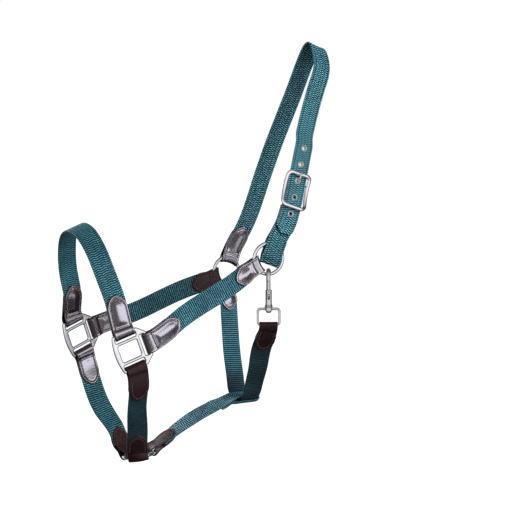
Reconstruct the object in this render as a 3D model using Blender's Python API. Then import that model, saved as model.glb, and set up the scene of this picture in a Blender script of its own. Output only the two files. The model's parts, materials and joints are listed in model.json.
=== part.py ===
"""A horse head collar (halter) of woven webbing, folded leather ends and bright metal fittings.

Lengths are written in millimetres and turned into metres as each mesh is made.
Frame: origin where the crown strap rests on the poll, -X towards the nose, -Y the near (buckle) side, +Z up.
Every strap follows a Route: a smooth line with a width direction. A shape on a strap is drawn in the
route's own coordinates: s along it, n outward from the head, w across it.
"""
import math

import bmesh
import bpy
import numpy as np
from mathutils import Vector

MM = 0.001

# ---- driving dimensions, mm ----
WEB_WIDTH = 25.0
WEB_THICK = 2.2
LEATHER_WIDTH = 24.5
LEATHER_THICK = 1.8
GAP = 0.3                      # running gap between touching pieces
HALF_WEB = WEB_THICK / 2
STITCHED_GAP = HALF_WEB + GAP  # half gap between two leather leaves over the webbing
WEB_START = 14.5               # where the webbing begins inside a leather end, from the bar
WEB_AT_RING = 32.5             # and from a ring's centre
OGIVE = 17.0                   # length of a leather end's pointed tip

RING_RADIUS = 18.75            # centre line of the wire
RING_WIRE = 2.25               # radius of the wire
RING_STEPS = 28                # facets round a ring
WIRE_SIDES = 8                 # and round its wire

SQUARE_THICK = 4.4
SQUARE_PITCH_V = 21.25         # centre to the top and bottom outer bars
SQUARE_PITCH_U = 23.25         # centre to the rear outer bar
SQUARE_YAW = math.radians(8)   # the squares turn outwards towards the nose
SQUARE_TILT = math.radians(19.5)
BAR_GAP = 3.4                  # half gap of a leather fold round an outer bar

BUCKLE_WIRE = 1.75
BUCKLE_HALF_WIDTH = 15.0
BUCKLE_HALF_LENGTH = 20.5
BUCKLE_SIDE_N = 4.8            # how far out the sides of the frame stand
BUCKLE_BOW = 3.9               # how much further out its end bars are
BAR_S = -9.5                   # the centre bar, from the frame's middle towards the poll
BAR_N = -1.3                   # and how far it stands in
BAR_RADIUS = 1.3
TONGUE_WIRE = 1.1
TONGUE_REACH = BAR_RADIUS + 0.25 + TONGUE_WIRE
BILLET_N = 4.8                 # the billet's height over the chape
CHAPE_N = 1.4                  # half the distance between the chape's two layers

EYELET_HOLE = 2.3
EYELET_BARREL = 2.9
EYELET_FLANGE = 4.1
EYELET_PITCH = 20.8

# ---- places, mm ----
NEAR_SQUARE = (-292, -62, -348)
FAR_SQUARE = (-299, 66, -349)
NEAR_RING = (-105, -60, -254)
FAR_RING = (-97, 56, -283)
CHIN_RING = (-251, 0, -488)
NEAR_RING_YAW = math.radians(8)
FAR_RING_YAW = math.radians(4)
CHIN_RING_AXIS = (-0.12, 0.07, 0.99)

BUCKLE_FROM_RING = 89.0        # the buckle's middle, from the near ring along the crown strap
BILLET_TIP = 55.0              # the billet's end, from the buckle's middle
CHAPE_OFFSET = 2.6             # the chape's loop lies this far behind the near ring's centre
THROAT_OFFSET = 2.5            # the throat strap lies this far behind the far ring's centre
THROAT_BEND = 22.0             # radius of the throat strap's lowest bend

# ---- throat snap: its own height z runs up from the collar, p points into the hook ----
SNAP_YAW = math.radians(30)
SNAP_SHIFT = 0.2               # how far behind the ring's lowest point it hangs
SNAP_WIRE_P = 7.8              # where the ring's wire lies inside the hook
SNAP_WIRE_Z = 38.6
BARREL_RADIUS = 4.0
BARREL_TOP = 21.0
BORE_RADIUS = 2.3
BORE_FLOOR = 2.5
BOLT_RADIUS = 1.95
BOLT_FOOT = 13.0
HOOK_TIP = 31.0
HOOK_RADIUS = 2.3
STUD_Z = 17.5
EYE_BAR_Z = -22.0
EYE_HALF_WIDTH = 13.0
EYE_WIRE = 1.5
SHANK_RADIUS = 2.0

WEB = ("webbing", (0.085, 0.200, 0.230), 0.85, 0.0)
LEATHER = ("leather", (0.060, 0.035, 0.032), 0.45, 0.0)
NICKEL = ("bright_nickel", (0.80, 0.80, 0.82), 0.12, 1.0)
SNAP_METAL = ("snap_nickel", (0.62, 0.60, 0.58), 0.25, 1.0)
EYELET_METAL = ("eyelet_metal", (0.78, 0.74, 0.70), 0.22, 1.0)
STEEL = ("spring_steel", (0.55, 0.55, 0.56), 0.30, 1.0)


# ---------------------------------------------------------------- small helpers

def vec(values):
    return np.array(values, dtype=float)


def unit(v):
    v = vec(v)
    return v / np.linalg.norm(v)


def smooth_step(t):
    t = min(max(t, 0.0), 1.0)
    return t * t * (3 - 2 * t)


def clear_scene():
    for item in list(bpy.data.objects):
        bpy.data.objects.remove(item, do_unlink=True)


def material(spec):
    name, colour, rough, metal = spec
    found = bpy.data.materials.get(name)
    if found:
        return found
    made = bpy.data.materials.new(name)
    made.use_nodes = True
    shader = made.node_tree.nodes["Principled BSDF"]
    shader.inputs["Base Color"].default_value = (*colour, 1.0)
    shader.inputs["Roughness"].default_value = rough
    shader.inputs["Metallic"].default_value = metal
    return made


def add_object(name, verts, faces, spec=None, pivot=(0, 0, 0)):
    """A mesh object from points in mm, with its origin on pivot."""
    mesh = bpy.data.meshes.new(name)
    base = vec(pivot)
    mesh.from_pydata([tuple((vec(v) - base) * MM) for v in verts], [], faces)
    bm = bmesh.new()
    bm.from_mesh(mesh)
    bmesh.ops.remove_doubles(bm, verts=bm.verts, dist=0.00001)
    bmesh.ops.recalc_face_normals(bm, faces=bm.faces)
    bm.to_mesh(mesh)
    bm.free()
    mesh.shade_smooth()
    mesh.set_sharp_from_angle(angle=math.radians(35))
    item = bpy.data.objects.new(name, mesh)
    item.location = base * MM
    bpy.context.scene.collection.objects.link(item)
    if spec:
        mesh.materials.append(material(spec))
    return item


def helper(item):
    item.hide_render = True
    item.display_type = "WIRE"
    return item


def combine(item, other, operation):
    mod = item.modifiers.new(other.name, "BOOLEAN")
    mod.operation = operation
    mod.object = helper(other)
    mod.solver = "EXACT"


def tube(points, radius, sides=8, closed=False):
    """Verts and faces of a round tube along points; radius is one number or one for each point."""
    pts = [vec(p) for p in points]
    count = len(pts)
    radii = np.broadcast_to(radius, count)
    verts, faces = [], []
    side = None
    for i, p in enumerate(pts):
        if closed:
            along = unit(pts[(i + 1) % count] - pts[i - 1])
        else:
            along = unit(pts[min(i + 1, count - 1)] - pts[max(i - 1, 0)])
        if side is None:
            seed = vec((0, 0, 1)) if abs(along[2]) < 0.8 else vec((1, 0, 0))
            side = unit(np.cross(along, seed))
        side = unit(side - along * side.dot(along))
        other = np.cross(along, side)
        for k in range(sides):
            turn = 2 * math.pi * (k + 0.5) / sides
            verts.append(p + radii[i] * (math.cos(turn) * side + math.sin(turn) * other))
    spans = count if closed else count - 1
    for i in range(spans):
        a = i * sides
        b = ((i + 1) % count) * sides
        for k in range(sides):
            m = (k + 1) % sides
            faces.append((a + k, a + m, b + m, b + k))
    if not closed:
        faces.append(tuple(reversed(range(sides))))
        faces.append(tuple(range((count - 1) * sides, count * sides)))
    return verts, faces


def turned(profile, centre, axis, steps=16):
    """A closed (r, h) outline turned about axis through centre."""
    axis = unit(axis)
    seed = vec((1, 0, 0)) if abs(axis[0]) < 0.8 else vec((0, 1, 0))
    side = unit(np.cross(axis, seed))
    other = np.cross(axis, side)
    base = vec(centre)
    verts, faces = [], []
    rings = len(profile)
    for k in range(steps):
        turn = 2 * math.pi * k / steps
        out = math.cos(turn) * side + math.sin(turn) * other
        verts += [base + r * out + h * axis for r, h in profile]
    for k in range(steps):
        a = k * rings
        b = ((k + 1) % steps) * rings
        for i in range(rings):
            j = (i + 1) % rings
            faces.append((a + i, a + j, b + j, b + i))
    return verts, faces


def rod(start, end, radius, steps=16):
    """A plain cylinder between two points."""
    start, end = vec(start), vec(end)
    axis = unit(end - start)
    seed = vec((1, 0, 0)) if abs(axis[0]) < 0.8 else vec((0, 1, 0))
    side = unit(np.cross(axis, seed))
    other = np.cross(axis, side)
    verts = []
    for base in (start, end):
        for k in range(steps):
            turn = 2 * math.pi * k / steps
            verts.append(base + radius * (math.cos(turn) * side + math.sin(turn) * other))
    faces = [(k, (k + 1) % steps, steps + (k + 1) % steps, steps + k) for k in range(steps)]
    faces += [tuple(reversed(range(steps))), tuple(range(steps, 2 * steps))]
    return verts, faces


def block(centre, axes, half):
    """A box from its centre, three axes and three half sizes."""
    centre = vec(centre)
    verts = []
    for i in (-1, 1):
        for j in (-1, 1):
            for k in (-1, 1):
                verts.append(centre + i * half[0] * vec(axes[0]) + j * half[1] * vec(axes[1])
                             + k * half[2] * vec(axes[2]))
    faces = [(0, 1, 3, 2), (4, 6, 7, 5), (0, 4, 5, 1), (2, 3, 7, 6), (0, 2, 6, 4), (1, 5, 7, 3)]
    return verts, faces


def curve_through(points, start_way, end_way):
    """A clamped cubic spline through points; the ways are its end directions. Returns a function of chord."""
    pts = np.array([vec(p) for p in points])
    gaps = np.linalg.norm(np.diff(pts, axis=0), axis=1)
    knots = np.concatenate([[0.0], np.cumsum(gaps)])
    count = len(pts)
    matrix = np.zeros((count, count))
    right = np.zeros(pts.shape)
    matrix[0, 0] = matrix[-1, -1] = 1.0
    right[0] = start_way
    right[-1] = end_way
    for i in range(1, count - 1):
        matrix[i, i - 1] = gaps[i]
        matrix[i, i] = 2 * (gaps[i] + gaps[i - 1])
        matrix[i, i + 1] = gaps[i - 1]
        right[i] = 3 * (gaps[i - 1] * (pts[i + 1] - pts[i]) / gaps[i]
                        + gaps[i] * (pts[i] - pts[i - 1]) / gaps[i - 1])
    slopes = np.linalg.solve(matrix, right)

    def at(u):
        i = int(min(max(np.searchsorted(knots, u) - 1, 0), count - 2))
        h = gaps[i]
        t = (u - knots[i]) / h
        if t < 0:
            return pts[0] + slopes[0] * (u - knots[0])
        if t > 1:
            return pts[-1] + slopes[-1] * (u - knots[-1])
        return ((2 * t**3 - 3 * t**2 + 1) * pts[i] + (t**3 - 2 * t**2 + t) * h * slopes[i]
                + (3 * t**2 - 2 * t**3) * pts[i + 1] + (t**3 - t**2) * h * slopes[i + 1])

    return at, knots[-1]


class Route:
    """A strap's line: points and width directions, read by arc length. N points away from the head."""

    STEP = 1.0

    def __init__(self, points, widths, start_way, end_way):
        line, total = curve_through(points, unit(start_way), unit(end_way))
        marks = np.linspace(0, total, int(total / self.STEP) + 2)
        self.samples = np.array([line(u) for u in marks])
        gaps = np.linalg.norm(np.diff(self.samples, axis=0), axis=1)
        self.lengths = np.concatenate([[0.0], np.cumsum(gaps)])
        self.length = self.lengths[-1]
        self.start_way = unit(start_way)
        self.end_way = unit(end_way)
        chords = np.linalg.norm(np.diff(np.array(points, float), axis=0), axis=1)
        stops = np.concatenate([[0.0], np.cumsum(chords)])
        stops = stops / stops[-1] * self.length
        self.width_marks = [stops[i] for i in widths]
        self.widths = np.array([unit(widths[i]) for i in widths])
        self.cups = []

    def point(self, s):
        if s < 0:
            return self.samples[0] + self.start_way * s
        if s > self.length:
            return self.samples[-1] + self.end_way * (s - self.length)
        return np.array([np.interp(s, self.lengths, self.samples[:, k]) for k in range(3)])

    def frame(self, s):
        along = unit(self.point(s + 1.5) - self.point(s - 1.5))
        across = np.array([np.interp(s, self.width_marks, self.widths[:, k]) for k in range(3)])
        across = unit(across - along * across.dot(along))
        return self.point(s), along, across, np.cross(along, across)

    def cup(self, at, towards, radius, full, fade):
        """Near s = at the strap bends across its width, as it does where it lies on a curved wire."""
        self.cups.append((at, unit(towards), radius, full, fade))

    def place(self, s, n, w):
        base, _, across, out = self.frame(s)
        result = base + n * out + w * across
        for at, towards, radius, full, fade in self.cups:
            share = 1 - smooth_step((abs(s - at) - full) / fade)
            if share > 0:
                result = result + towards * share * (radius - math.sqrt(radius**2 - w**2))
        return result


# ---------------------------------------------------------------- straps and leather ends

def band(route, path, half_width, thick, columns=1):
    """A strip of even thickness along a path of (s, n) points. half_width is a number or one per point."""
    count = len(path)
    widths = half_width if isinstance(half_width, list) else [half_width] * count
    verts = []
    for i, (s, n) in enumerate(path):
        s0, n0 = path[max(i - 1, 0)]
        s1, n1 = path[min(i + 1, count - 1)]
        size = math.hypot(s1 - s0, n1 - n0)
        ds, dn = -(n1 - n0) / size, (s1 - s0) / size
        for side in (1, -1):
            for c in range(columns + 1):
                w = widths[i] * (2 * c / columns - 1) * side
                offset = side * thick / 2
                verts.append(route.place(s + ds * offset, n + dn * offset, w))
    loop = 2 * (columns + 1)
    faces = []
    for i in range(count - 1):
        for k in range(loop):
            m = (k + 1) % loop
            faces.append((i * loop + k, i * loop + m, (i + 1) * loop + m, (i + 1) * loop + k))
    faces.append(tuple(reversed(range(loop))))
    faces.append(tuple(range((count - 1) * loop, count * loop)))
    return verts, faces


def run(start, end, step):
    """Evenly spaced values from start to end."""
    count = max(1, round(abs(end - start) / step))
    return [start + (end - start) * i / count for i in range(count + 1)]


def straight(start, end, step=6.0):
    return [(s, 0.0) for s in run(start, end, step)]


def eased(knots, step=3.0):
    """(s, n) points that ease from knot to knot."""
    path = []
    for (s0, n0), (s1, n1) in zip(knots, knots[1:]):
        for s in run(s0, s1, step)[:-1]:
            path.append((s, n0 + (n1 - n0) * smooth_step((s - s0) / (s1 - s0))))
    return path + [knots[-1]]


def hairpin(origin, way, opening, thick, length, turns=6):
    """The centre line of a strip folded round a bar, as (s, n) points from the front tip to the back tip.

    opening lists (distance from origin, half gap inside the fold); its first pair is the fold's own centre.
    """
    fold_at, fold_gap = opening[0]
    half = [(d, g + thick / 2) for d, g in eased(opening)]

    leaf = [p for p in half if p[0] < length - 0.5]
    leaf += [(d, leaf[-1][1]) for d in run(leaf[-1][0], length, 5.0)[1:]]
    front = [(origin + way * d, n) for d, n in leaf]
    back = [(origin + way * d, -n) for d, n in leaf]
    radius = fold_gap + thick / 2
    bend = []
    for k in range(1, turns):
        turn = math.pi * k / turns
        bend.append((origin + way * (fold_at - radius * math.sin(turn)), radius * math.cos(turn)))
    return list(reversed(front)) + bend + back


def tip_widths(path, half_width, ogive, waist=None):
    """Half widths along a folded strip: pointed at both tips, narrower at the fold if waist is set."""
    steps = [0.0]
    for a, b in zip(path, path[1:]):
        steps.append(steps[-1] + math.hypot(b[0] - a[0], b[1] - a[1]))
    middle = steps[-1] / 2
    result = []
    for d in steps:
        near_tip = min(d, steps[-1] - d)
        t = min(near_tip / ogive, 1.0)
        width = max(half_width * (1 - (1 - t) ** 2.2) ** 0.62, 0.8)
        if waist:
            width = min(width, waist + (half_width - waist) * smooth_step((abs(d - middle) - 14) / 14))
        result.append(width)
    return result


def leather_end(name, route, end, opening, length, waist=None, columns=1):
    """A folded leather end on a route's start (end = 0) or finish (end = 1)."""
    origin = 0.0 if end == 0 else route.length
    way = 1.0 if end == 0 else -1.0
    path = hairpin(origin, way, opening, LEATHER_THICK, length)
    fine = refine_tips(path)
    widths = tip_widths(fine, LEATHER_WIDTH / 2, OGIVE, waist)
    return add_object(name, *band(route, fine, widths, LEATHER_THICK, columns), LEATHER)


def refine_tips(path):
    """More points near both tips, so that the pointed outline is round."""
    def split(points):
        result = []
        for a, b in zip(points, points[1:]):
            result += [a, ((a[0] + b[0]) / 2, (a[1] + b[1]) / 2)]
        return result + [points[-1]]
    return split(path[:5])[:-1] + path[4:-5] + split(path[-5:])


def bar_opening(gap=BAR_GAP):
    return [(0.0, gap), (2.0, gap), (11.0, STITCHED_GAP)]


def ring_opening(fold_at=15.6):
    return [(fold_at, 2.6), (21.4, 2.6), (30.0, STITCHED_GAP)]


def ring_cup(route, end, radius=32.0):
    """The strap dips towards the ring's centre at its edges."""
    at = 0.0 if end == 0 else route.length
    towards = -route.start_way if end == 0 else route.end_way
    route.cup(at, towards, radius, 22.0, 9.0)


# ---------------------------------------------------------------- metal fittings

def square_axes(side):
    """u rearward, v up and n outward for the square on side -1 (near) or +1 (far)."""
    flat = vec((math.cos(SQUARE_YAW), side * math.sin(SQUARE_YAW), 0))
    up = vec((0, 0, 1))
    u = math.cos(SQUARE_TILT) * flat + math.sin(SQUARE_TILT) * up
    v = -math.sin(SQUARE_TILT) * flat + math.cos(SQUARE_TILT) * up
    n = vec((-math.sin(SQUARE_YAW), side * math.cos(SQUARE_YAW), 0))
    return u, v, n


def plate(name, outline, centre, axes, half_thick):
    u, v, n = axes
    base = vec(centre)
    count = len(outline)
    verts = [base + a * u + b * v - half_thick * n for a, b in outline]
    verts += [base + a * u + b * v + half_thick * n for a, b in outline]
    faces = [tuple(range(count)), tuple(range(count, 2 * count))]
    faces += [(i, (i + 1) % count, count + (i + 1) % count, count + i) for i in range(count)]
    return add_object(name, verts, faces)


def round_rect(low, high, radius, steps=3):
    (a0, b0), (a1, b1) = low, high
    corners = [(a1 - radius, b1 - radius, 0), (a0 + radius, b1 - radius, 90),
               (a0 + radius, b0 + radius, 180), (a1 - radius, b0 + radius, 270)]
    points = []
    for a, b, start in corners:
        for k in range(steps + 1):
            turn = math.radians(start + 90 * k / steps)
            points.append((a + radius * math.cos(turn), b + radius * math.sin(turn)))
    return points


def halter_square(name, centre, side):
    """A flat cast frame: a window, three strap slots and a bowed solid side towards the nose."""
    axes = square_axes(side)
    bow = []
    for k in range(9):
        v = 22.0 - 44.0 * k / 8
        bow.append((-18.8 + 3.2 * (v / 22.0) ** 2, v))
    outline = [(14.5, -23.5), (16.5, -22.5), (24.5, -15.0), (25.5, -13.0), (25.5, 13.0), (24.5, 15.0),
               (16.5, 22.5), (14.5, 23.5), (-13.8, 23.5)] + bow + [(-13.8, -23.5)]
    item = plate(name, outline, centre, axes, SQUARE_THICK / 2)
    item.data.materials.append(material(NICKEL))
    slots = {"window": ((-12.0, -10.0), (11.5, 10.0)), "top_slot": ((-12.8, 14.0), (12.8, 19.05)),
             "bottom_slot": ((-12.8, -19.05), (12.8, -14.0)), "rear_slot": ((15.8, -12.7), (21.05, 12.7))}
    for label, (low, high) in slots.items():
        outline = round_rect(low, high, 2.0 if label == "window" else 1.0)
        cut = plate(f"{name}_{label}_cut", outline, centre, axes, 4.0)
        combine(item, cut, "DIFFERENCE")
    bevel = item.modifiers.new("edge", "BEVEL")
    bevel.width = 0.6 * MM
    bevel.segments = 1
    bevel.limit_method = "ANGLE"
    bevel.angle_limit = math.radians(50)
    return item


def ring(name, centre, axis):
    profile = []
    for k in range(WIRE_SIDES):
        turn = 2 * math.pi * (k + 0.5) / WIRE_SIDES
        profile.append((RING_RADIUS + RING_WIRE * math.cos(turn), RING_WIRE * math.sin(turn)))
    verts, faces = turned(profile, centre, axis, RING_STEPS)
    return add_object(name, verts, faces, NICKEL, centre)


def ring_axis(yaw, side):
    return vec((-math.sin(yaw), side * math.cos(yaw), 0))


def buckle(route, middle):
    """The bowed frame with its centre bar, about s = middle, and the tongue that turns on the bar."""
    def spot(s, n, w):
        base, _, across, out = route.frame(middle + s)
        return base + n * out + w * across

    corner = (BUCKLE_HALF_LENGTH, BUCKLE_HALF_WIDTH)
    outline = round_rect((-corner[0], -corner[1]), corner, 5.0, 4)
    line = [spot(a, frame_height(a), b) for a, b in filled_loop(outline, 6.0)]
    frame = add_object("buckle_frame", *tube(line, BUCKLE_WIRE, 8, True), NICKEL)
    drop = [(BUCKLE_HALF_WIDTH, frame_height(BAR_S)), (14.7, 2.0), (14.4, 0.4), (13.9, -0.7), (13.0, BAR_N)]
    sunk = [(-w, n) for w, n in drop] + [(w, n) for w, n in reversed(drop)]
    bar = tube([spot(BAR_S, n, w) for w, n in sunk], BAR_RADIUS, 12)
    combine(frame, add_object("buckle_centre_bar", *bar), "UNION")

    loop = []
    for k in range(8):
        turn = math.radians(-20 - 160 * k / 7)
        loop.append((TONGUE_REACH * math.cos(turn), TONGUE_REACH * math.sin(turn)))
    rise = [(-2.8, 3.0), (-3.0, 6.5), (-3.5, 9.6), (-5.2, 11.9), (-7.8, 12.95), (-11.0, 13.15), (-13.8, 12.9)]
    points = [spot(BAR_S + a, BAR_N + b, 0) for a, b in loop + rise]
    radii = [TONGUE_WIRE] * (len(points) - 1) + [TONGUE_WIRE * 0.7]
    add_object("buckle_tongue", *tube(points, radii, 8), NICKEL, spot(BAR_S, BAR_N, 0))


def frame_height(s):
    """How far out the buckle frame's wire stands, s from its middle."""
    return BUCKLE_SIDE_N + BUCKLE_BOW * (s / BUCKLE_HALF_LENGTH) ** 2


def filled_loop(outline, step):
    """A closed outline with points no further apart than about step."""
    dense = []
    for (a0, b0), (a1, b1) in zip(outline, outline[1:] + outline[:1]):
        parts = max(1, round(math.hypot(a1 - a0, b1 - b0) / step))
        dense += [(a0 + (a1 - a0) * k / parts, b0 + (b1 - b0) * k / parts) for k in range(parts)]
    return dense


def eyelet(name, route, s, n):
    base, _, _, out = route.frame(s)
    low, high = HALF_WEB + GAP, HALF_WEB + GAP + 0.6
    rim = EYELET_FLANGE - 0.4
    profile = [(EYELET_HOLE, -high), (rim, -high), (EYELET_FLANGE, -low), (EYELET_BARREL, -low),
               (EYELET_BARREL, low), (EYELET_FLANGE, low), (rim, high), (EYELET_HOLE, high)]
    return add_object(name, *turned(profile, base + n * out, out, 12), EYELET_METAL)


class Snap:
    """The throat snap's own frame: spot(p, q, z) with z up from the collar's foot."""

    def __init__(self):
        self.p = vec((math.sin(SNAP_YAW), math.cos(SNAP_YAW), 0))
        self.q = vec((math.cos(SNAP_YAW), -math.sin(SNAP_YAW), 0))
        self.up = vec((0, 0, 1))
        wire = vec(NEAR_RING) - RING_RADIUS * self.up
        self.base = wire + SNAP_SHIFT * self.q - SNAP_WIRE_P * self.p - SNAP_WIRE_Z * self.up

    def spot(self, p, q, z):
        return self.base + p * self.p + q * self.q + z * self.up

    def body(self):
        """Barrel, hook, collar, swivel shank and its riveted head in one casting."""
        head_top = -0.3 - 4.2 - 0.3
        profile = [(0.0, head_top - 2.6), (2.8, head_top - 2.6), (3.6, head_top - 1.6), (3.6, head_top),
                   (SHANK_RADIUS, head_top), (SHANK_RADIUS, 0.0), (5.2, 0.0), (5.2, 1.6), (4.4, 3.2),
                   (BARREL_RADIUS, 4.2), (BARREL_RADIUS, BARREL_TOP), (0.0, BARREL_TOP)]
        item = add_object("snap_body", *self.lathe(profile), SNAP_METAL)
        hook_line = curve_through([(0, 0, HOOK_TIP), (0.2, 0, 35.5), (2.6, 0, 40.8), (7.8, 0, 43.7),
                                   (13.0, 0, 41.0), (15.0, 0, 34.5), (12.6, 0, 26.0), (8.0, 0, 18.5),
                                   (2.5, 0, 12.0)], (0, 0, 1), (-0.6, 0, -0.8))
        marks = np.linspace(0, hook_line[1], 18)
        points = [self.spot(*hook_line[0](u)) for u in marks]
        radii = [2.0 + 0.3 * min(u / 10, 1) for u in marks]
        combine(item, add_object("snap_hook", *tube(points, radii, 8)), "UNION")
        bore = rod(self.spot(0, 0, BORE_FLOOR), self.spot(0, 0, BARREL_TOP + 2.0), BORE_RADIUS, 16)
        combine(item, add_object("snap_bore", *bore), "DIFFERENCE")
        slot_low, slot_high = 9.2, 19.3
        middle = self.spot(-4.0, 0, (slot_low + slot_high) / 2)
        slot = block(middle, (self.p, self.q, self.up), (3.4, 1.5, (slot_high - slot_low) / 2))
        combine(item, add_object("snap_slot", *slot), "DIFFERENCE")
        return item

    def lathe(self, profile, steps=16):
        verts, faces = [], []
        rings = []
        for r, z in profile:
            if r == 0.0:
                rings.append([len(verts)] * steps)
                verts.append(self.spot(0, 0, z))
                continue
            rings.append(list(range(len(verts), len(verts) + steps)))
            for k in range(steps):
                turn = 2 * math.pi * k / steps
                verts.append(self.spot(r * math.cos(turn), r * math.sin(turn), z))
        for low, high in zip(rings, rings[1:]):
            for k in range(steps):
                m = (k + 1) % steps
                corners = [low[k], low[m], high[m], high[k]]
                face = tuple(dict.fromkeys(corners))
                faces.append(face)
        return verts, faces

    def bolt(self):
        """The sliding gate pin with its thumb stud."""
        top = HOOK_TIP - GAP
        profile = [(0.0, BOLT_FOOT), (BOLT_RADIUS, BOLT_FOOT), (BOLT_RADIUS, top - 0.5),
                   (BOLT_RADIUS - 0.5, top), (0.0, top)]
        pivot = self.spot(0, 0, BOLT_FOOT)
        item = add_object("snap_bolt", *self.lathe(profile), SNAP_METAL, pivot)
        stem = rod(self.spot(-0.5, 0, STUD_Z), self.spot(-6.2, 0, STUD_Z), 1.1, 12)
        combine(item, add_object("snap_stud_stem", *stem), "UNION")
        head = rod(self.spot(-5.6, 0, STUD_Z), self.spot(-7.2, 0, STUD_Z), 2.1, 12)
        combine(item, add_object("snap_stud_head", *head), "UNION")
        return item

    def spring(self):
        """The coil that pushes the gate pin shut."""
        low, high, coils, per_turn = BORE_FLOOR + 0.6, BOLT_FOOT - 0.6, 5, 8
        points = []
        for k in range(coils * per_turn + 1):
            turn = 2 * math.pi * k / per_turn
            rise = low + (high - low) * k / (coils * per_turn)
            points.append(self.spot(1.6 * math.cos(turn), 1.6 * math.sin(turn), rise))
        return add_object("snap_spring", *tube(points, 0.3, 5), STEEL)

    def eye(self):
        """The swivel eye: a boss round the shank and a loop that holds the throat strap."""
        top = -2.4
        outline = round_rect((-EYE_HALF_WIDTH, EYE_BAR_Z), (EYE_HALF_WIDTH, top), 2.5, 3)
        points = [self.spot(0, a, b) for a, b in filled_loop(outline, 7.0)]
        item = add_object("snap_swivel_eye", *tube(points, EYE_WIRE, 8, True), SNAP_METAL)
        boss = add_object("snap_eye_boss", *rod(self.spot(0, 0, -GAP), self.spot(0, 0, -GAP - 4.2), 5.0, 16))
        combine(item, boss, "UNION")
        hole = rod(self.spot(0, 0, 3), self.spot(0, 0, -9), SHANK_RADIUS + GAP, 16)
        combine(item, add_object("snap_eye_hole", *hole), "DIFFERENCE")
        return item


# ---------------------------------------------------------------- the routes

def ring_rim(centre, axis, way):
    """The point on a ring's wire in the direction way."""
    axis = unit(axis)
    way = vec(way)
    way = unit(way - axis * way.dot(axis))
    return vec(centre) + RING_RADIUS * way, way


def square_bar(centre, side, which):
    u, v, _ = square_axes(side)
    shift = {"top": SQUARE_PITCH_V * v, "bottom": -SQUARE_PITCH_V * v, "rear": SQUARE_PITCH_U * u}[which]
    return vec(centre) + shift


def in_plane(way, axis):
    axis = unit(axis)
    way = vec(way)
    return unit(way - axis * way.dot(axis))


def crown_route():
    """From the far ring's centre, over the poll, down to the near ring's centre."""
    near_axis = ring_axis(NEAR_RING_YAW, -1)
    far_axis = ring_axis(FAR_RING_YAW, 1)
    start = in_plane((0.33, -0.08, 1.0), far_axis)
    end = in_plane((-0.36, -0.03, -0.93), near_axis)
    chape_foot = vec(NEAR_RING) + CHAPE_OFFSET * np.cross(near_axis, end)
    points = [FAR_RING, vec(FAR_RING) + 24 * start, (-76, 50.5, -231), (-55, 43, -173),
              (-35.8, 34, -113), (-14, 22.5, -50), (-5, 14.5, -18), (0, 0, HALF_WEB), (1, -13, -16),
              (-11.3, -24, -45), (-39.8, -39.5, -103), (-58.5, -50.5, -151),
              (-72, -57.5, -190), (-83.5, -60.5, -216), chape_foot - 24 * end, chape_foot]
    tilted = (0.93, 0, -0.36)
    widths = {0: np.cross(start, far_axis), 3: (0.937, -0.02, -0.34), 7: tilted, 11: (0.93, -0.06, -0.36),
              15: np.cross(near_axis, end)}
    return Route(points, orient(widths), start, end)


def orient(widths, towards=(1, 0, 0)):
    """Turn every width direction to the same side."""
    return {k: (vec(w) if vec(w).dot(vec(towards)) > 0 else -vec(w)) for k, w in widths.items()}


def noseband_route():
    """From the far square's top bar, over the nose, to the near square's top bar."""
    far_u, far_v, _ = square_axes(1)
    near_u, near_v, _ = square_axes(-1)
    points = [square_bar(FAR_SQUARE, 1, "top"), (-309, 58.5, -301), (-316.6, 51, -272), (-322.6, 42, -242),
              (-326, 28, -219.5), (-328.5, 0, -209.5), (-327.5, -26, -216), (-323, -41.5, -234),
              (-315.7, -51.5, -262), (-307.8, -57.5, -290), square_bar(NEAR_SQUARE, -1, "top")]
    widths = {0: far_u, 5: (0.94, 0, 0.34), 10: near_u}
    return Route(points, widths, far_v, -near_v)


def near_lower_route():
    """From the near square's bottom bar down to the chin ring."""
    u, v, _ = square_axes(-1)
    rim, way = ring_rim(CHIN_RING, CHIN_RING_AXIS, (-0.5, -0.87, 0))
    points = [square_bar(NEAR_SQUARE, -1, "bottom"), (-280.3, -60, -392), (-276.2, -47, -420),
              (-267.5, -30, -453), rim]
    across = np.cross(unit(CHIN_RING_AXIS), way)
    end = in_plane(-0.35 * way - vec(CHIN_RING_AXIS), across)
    route = Route(points, orient({0: u, 2: (0.98, 0, 0.15), 4: across}), -v, end)
    route.cup(route.length, -way, RING_RADIUS, 5.0, 9.0)
    return route


def far_lower_route():
    """From the chin ring up to the far square's bottom bar."""
    u, v, _ = square_axes(1)
    rim, way = ring_rim(CHIN_RING, CHIN_RING_AXIS, (-0.5, 0.87, 0))
    points = [rim, (-268, 26, -462), (-276, 43, -441), (-283, 57, -414), square_bar(FAR_SQUARE, 1, "bottom")]
    across = np.cross(unit(CHIN_RING_AXIS), way)
    start = in_plane(0.6 * way + vec(CHIN_RING_AXIS), across)
    route = Route(points, orient({0: across, 2: (0.98, 0, 0.15), 4: u}), start, v)
    route.cup(0.0, -way, RING_RADIUS, 5.0, 9.0)
    return route


def near_cheek_route():
    u, v, _ = square_axes(-1)
    axis = ring_axis(NEAR_RING_YAW, -1)
    end = in_plane((0.88, -0.05, 0.45), axis)
    points = [square_bar(NEAR_SQUARE, -1, "rear"), (-225, -62.5, -315.5), (-178, -60.5, -292.8),
              (-145, -59.3, -275.8), vec(NEAR_RING) - 24 * end, NEAR_RING]
    return Route(points, orient({0: v, 5: np.cross(axis, end)}, (0, 0, 1)), u, end)


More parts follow.
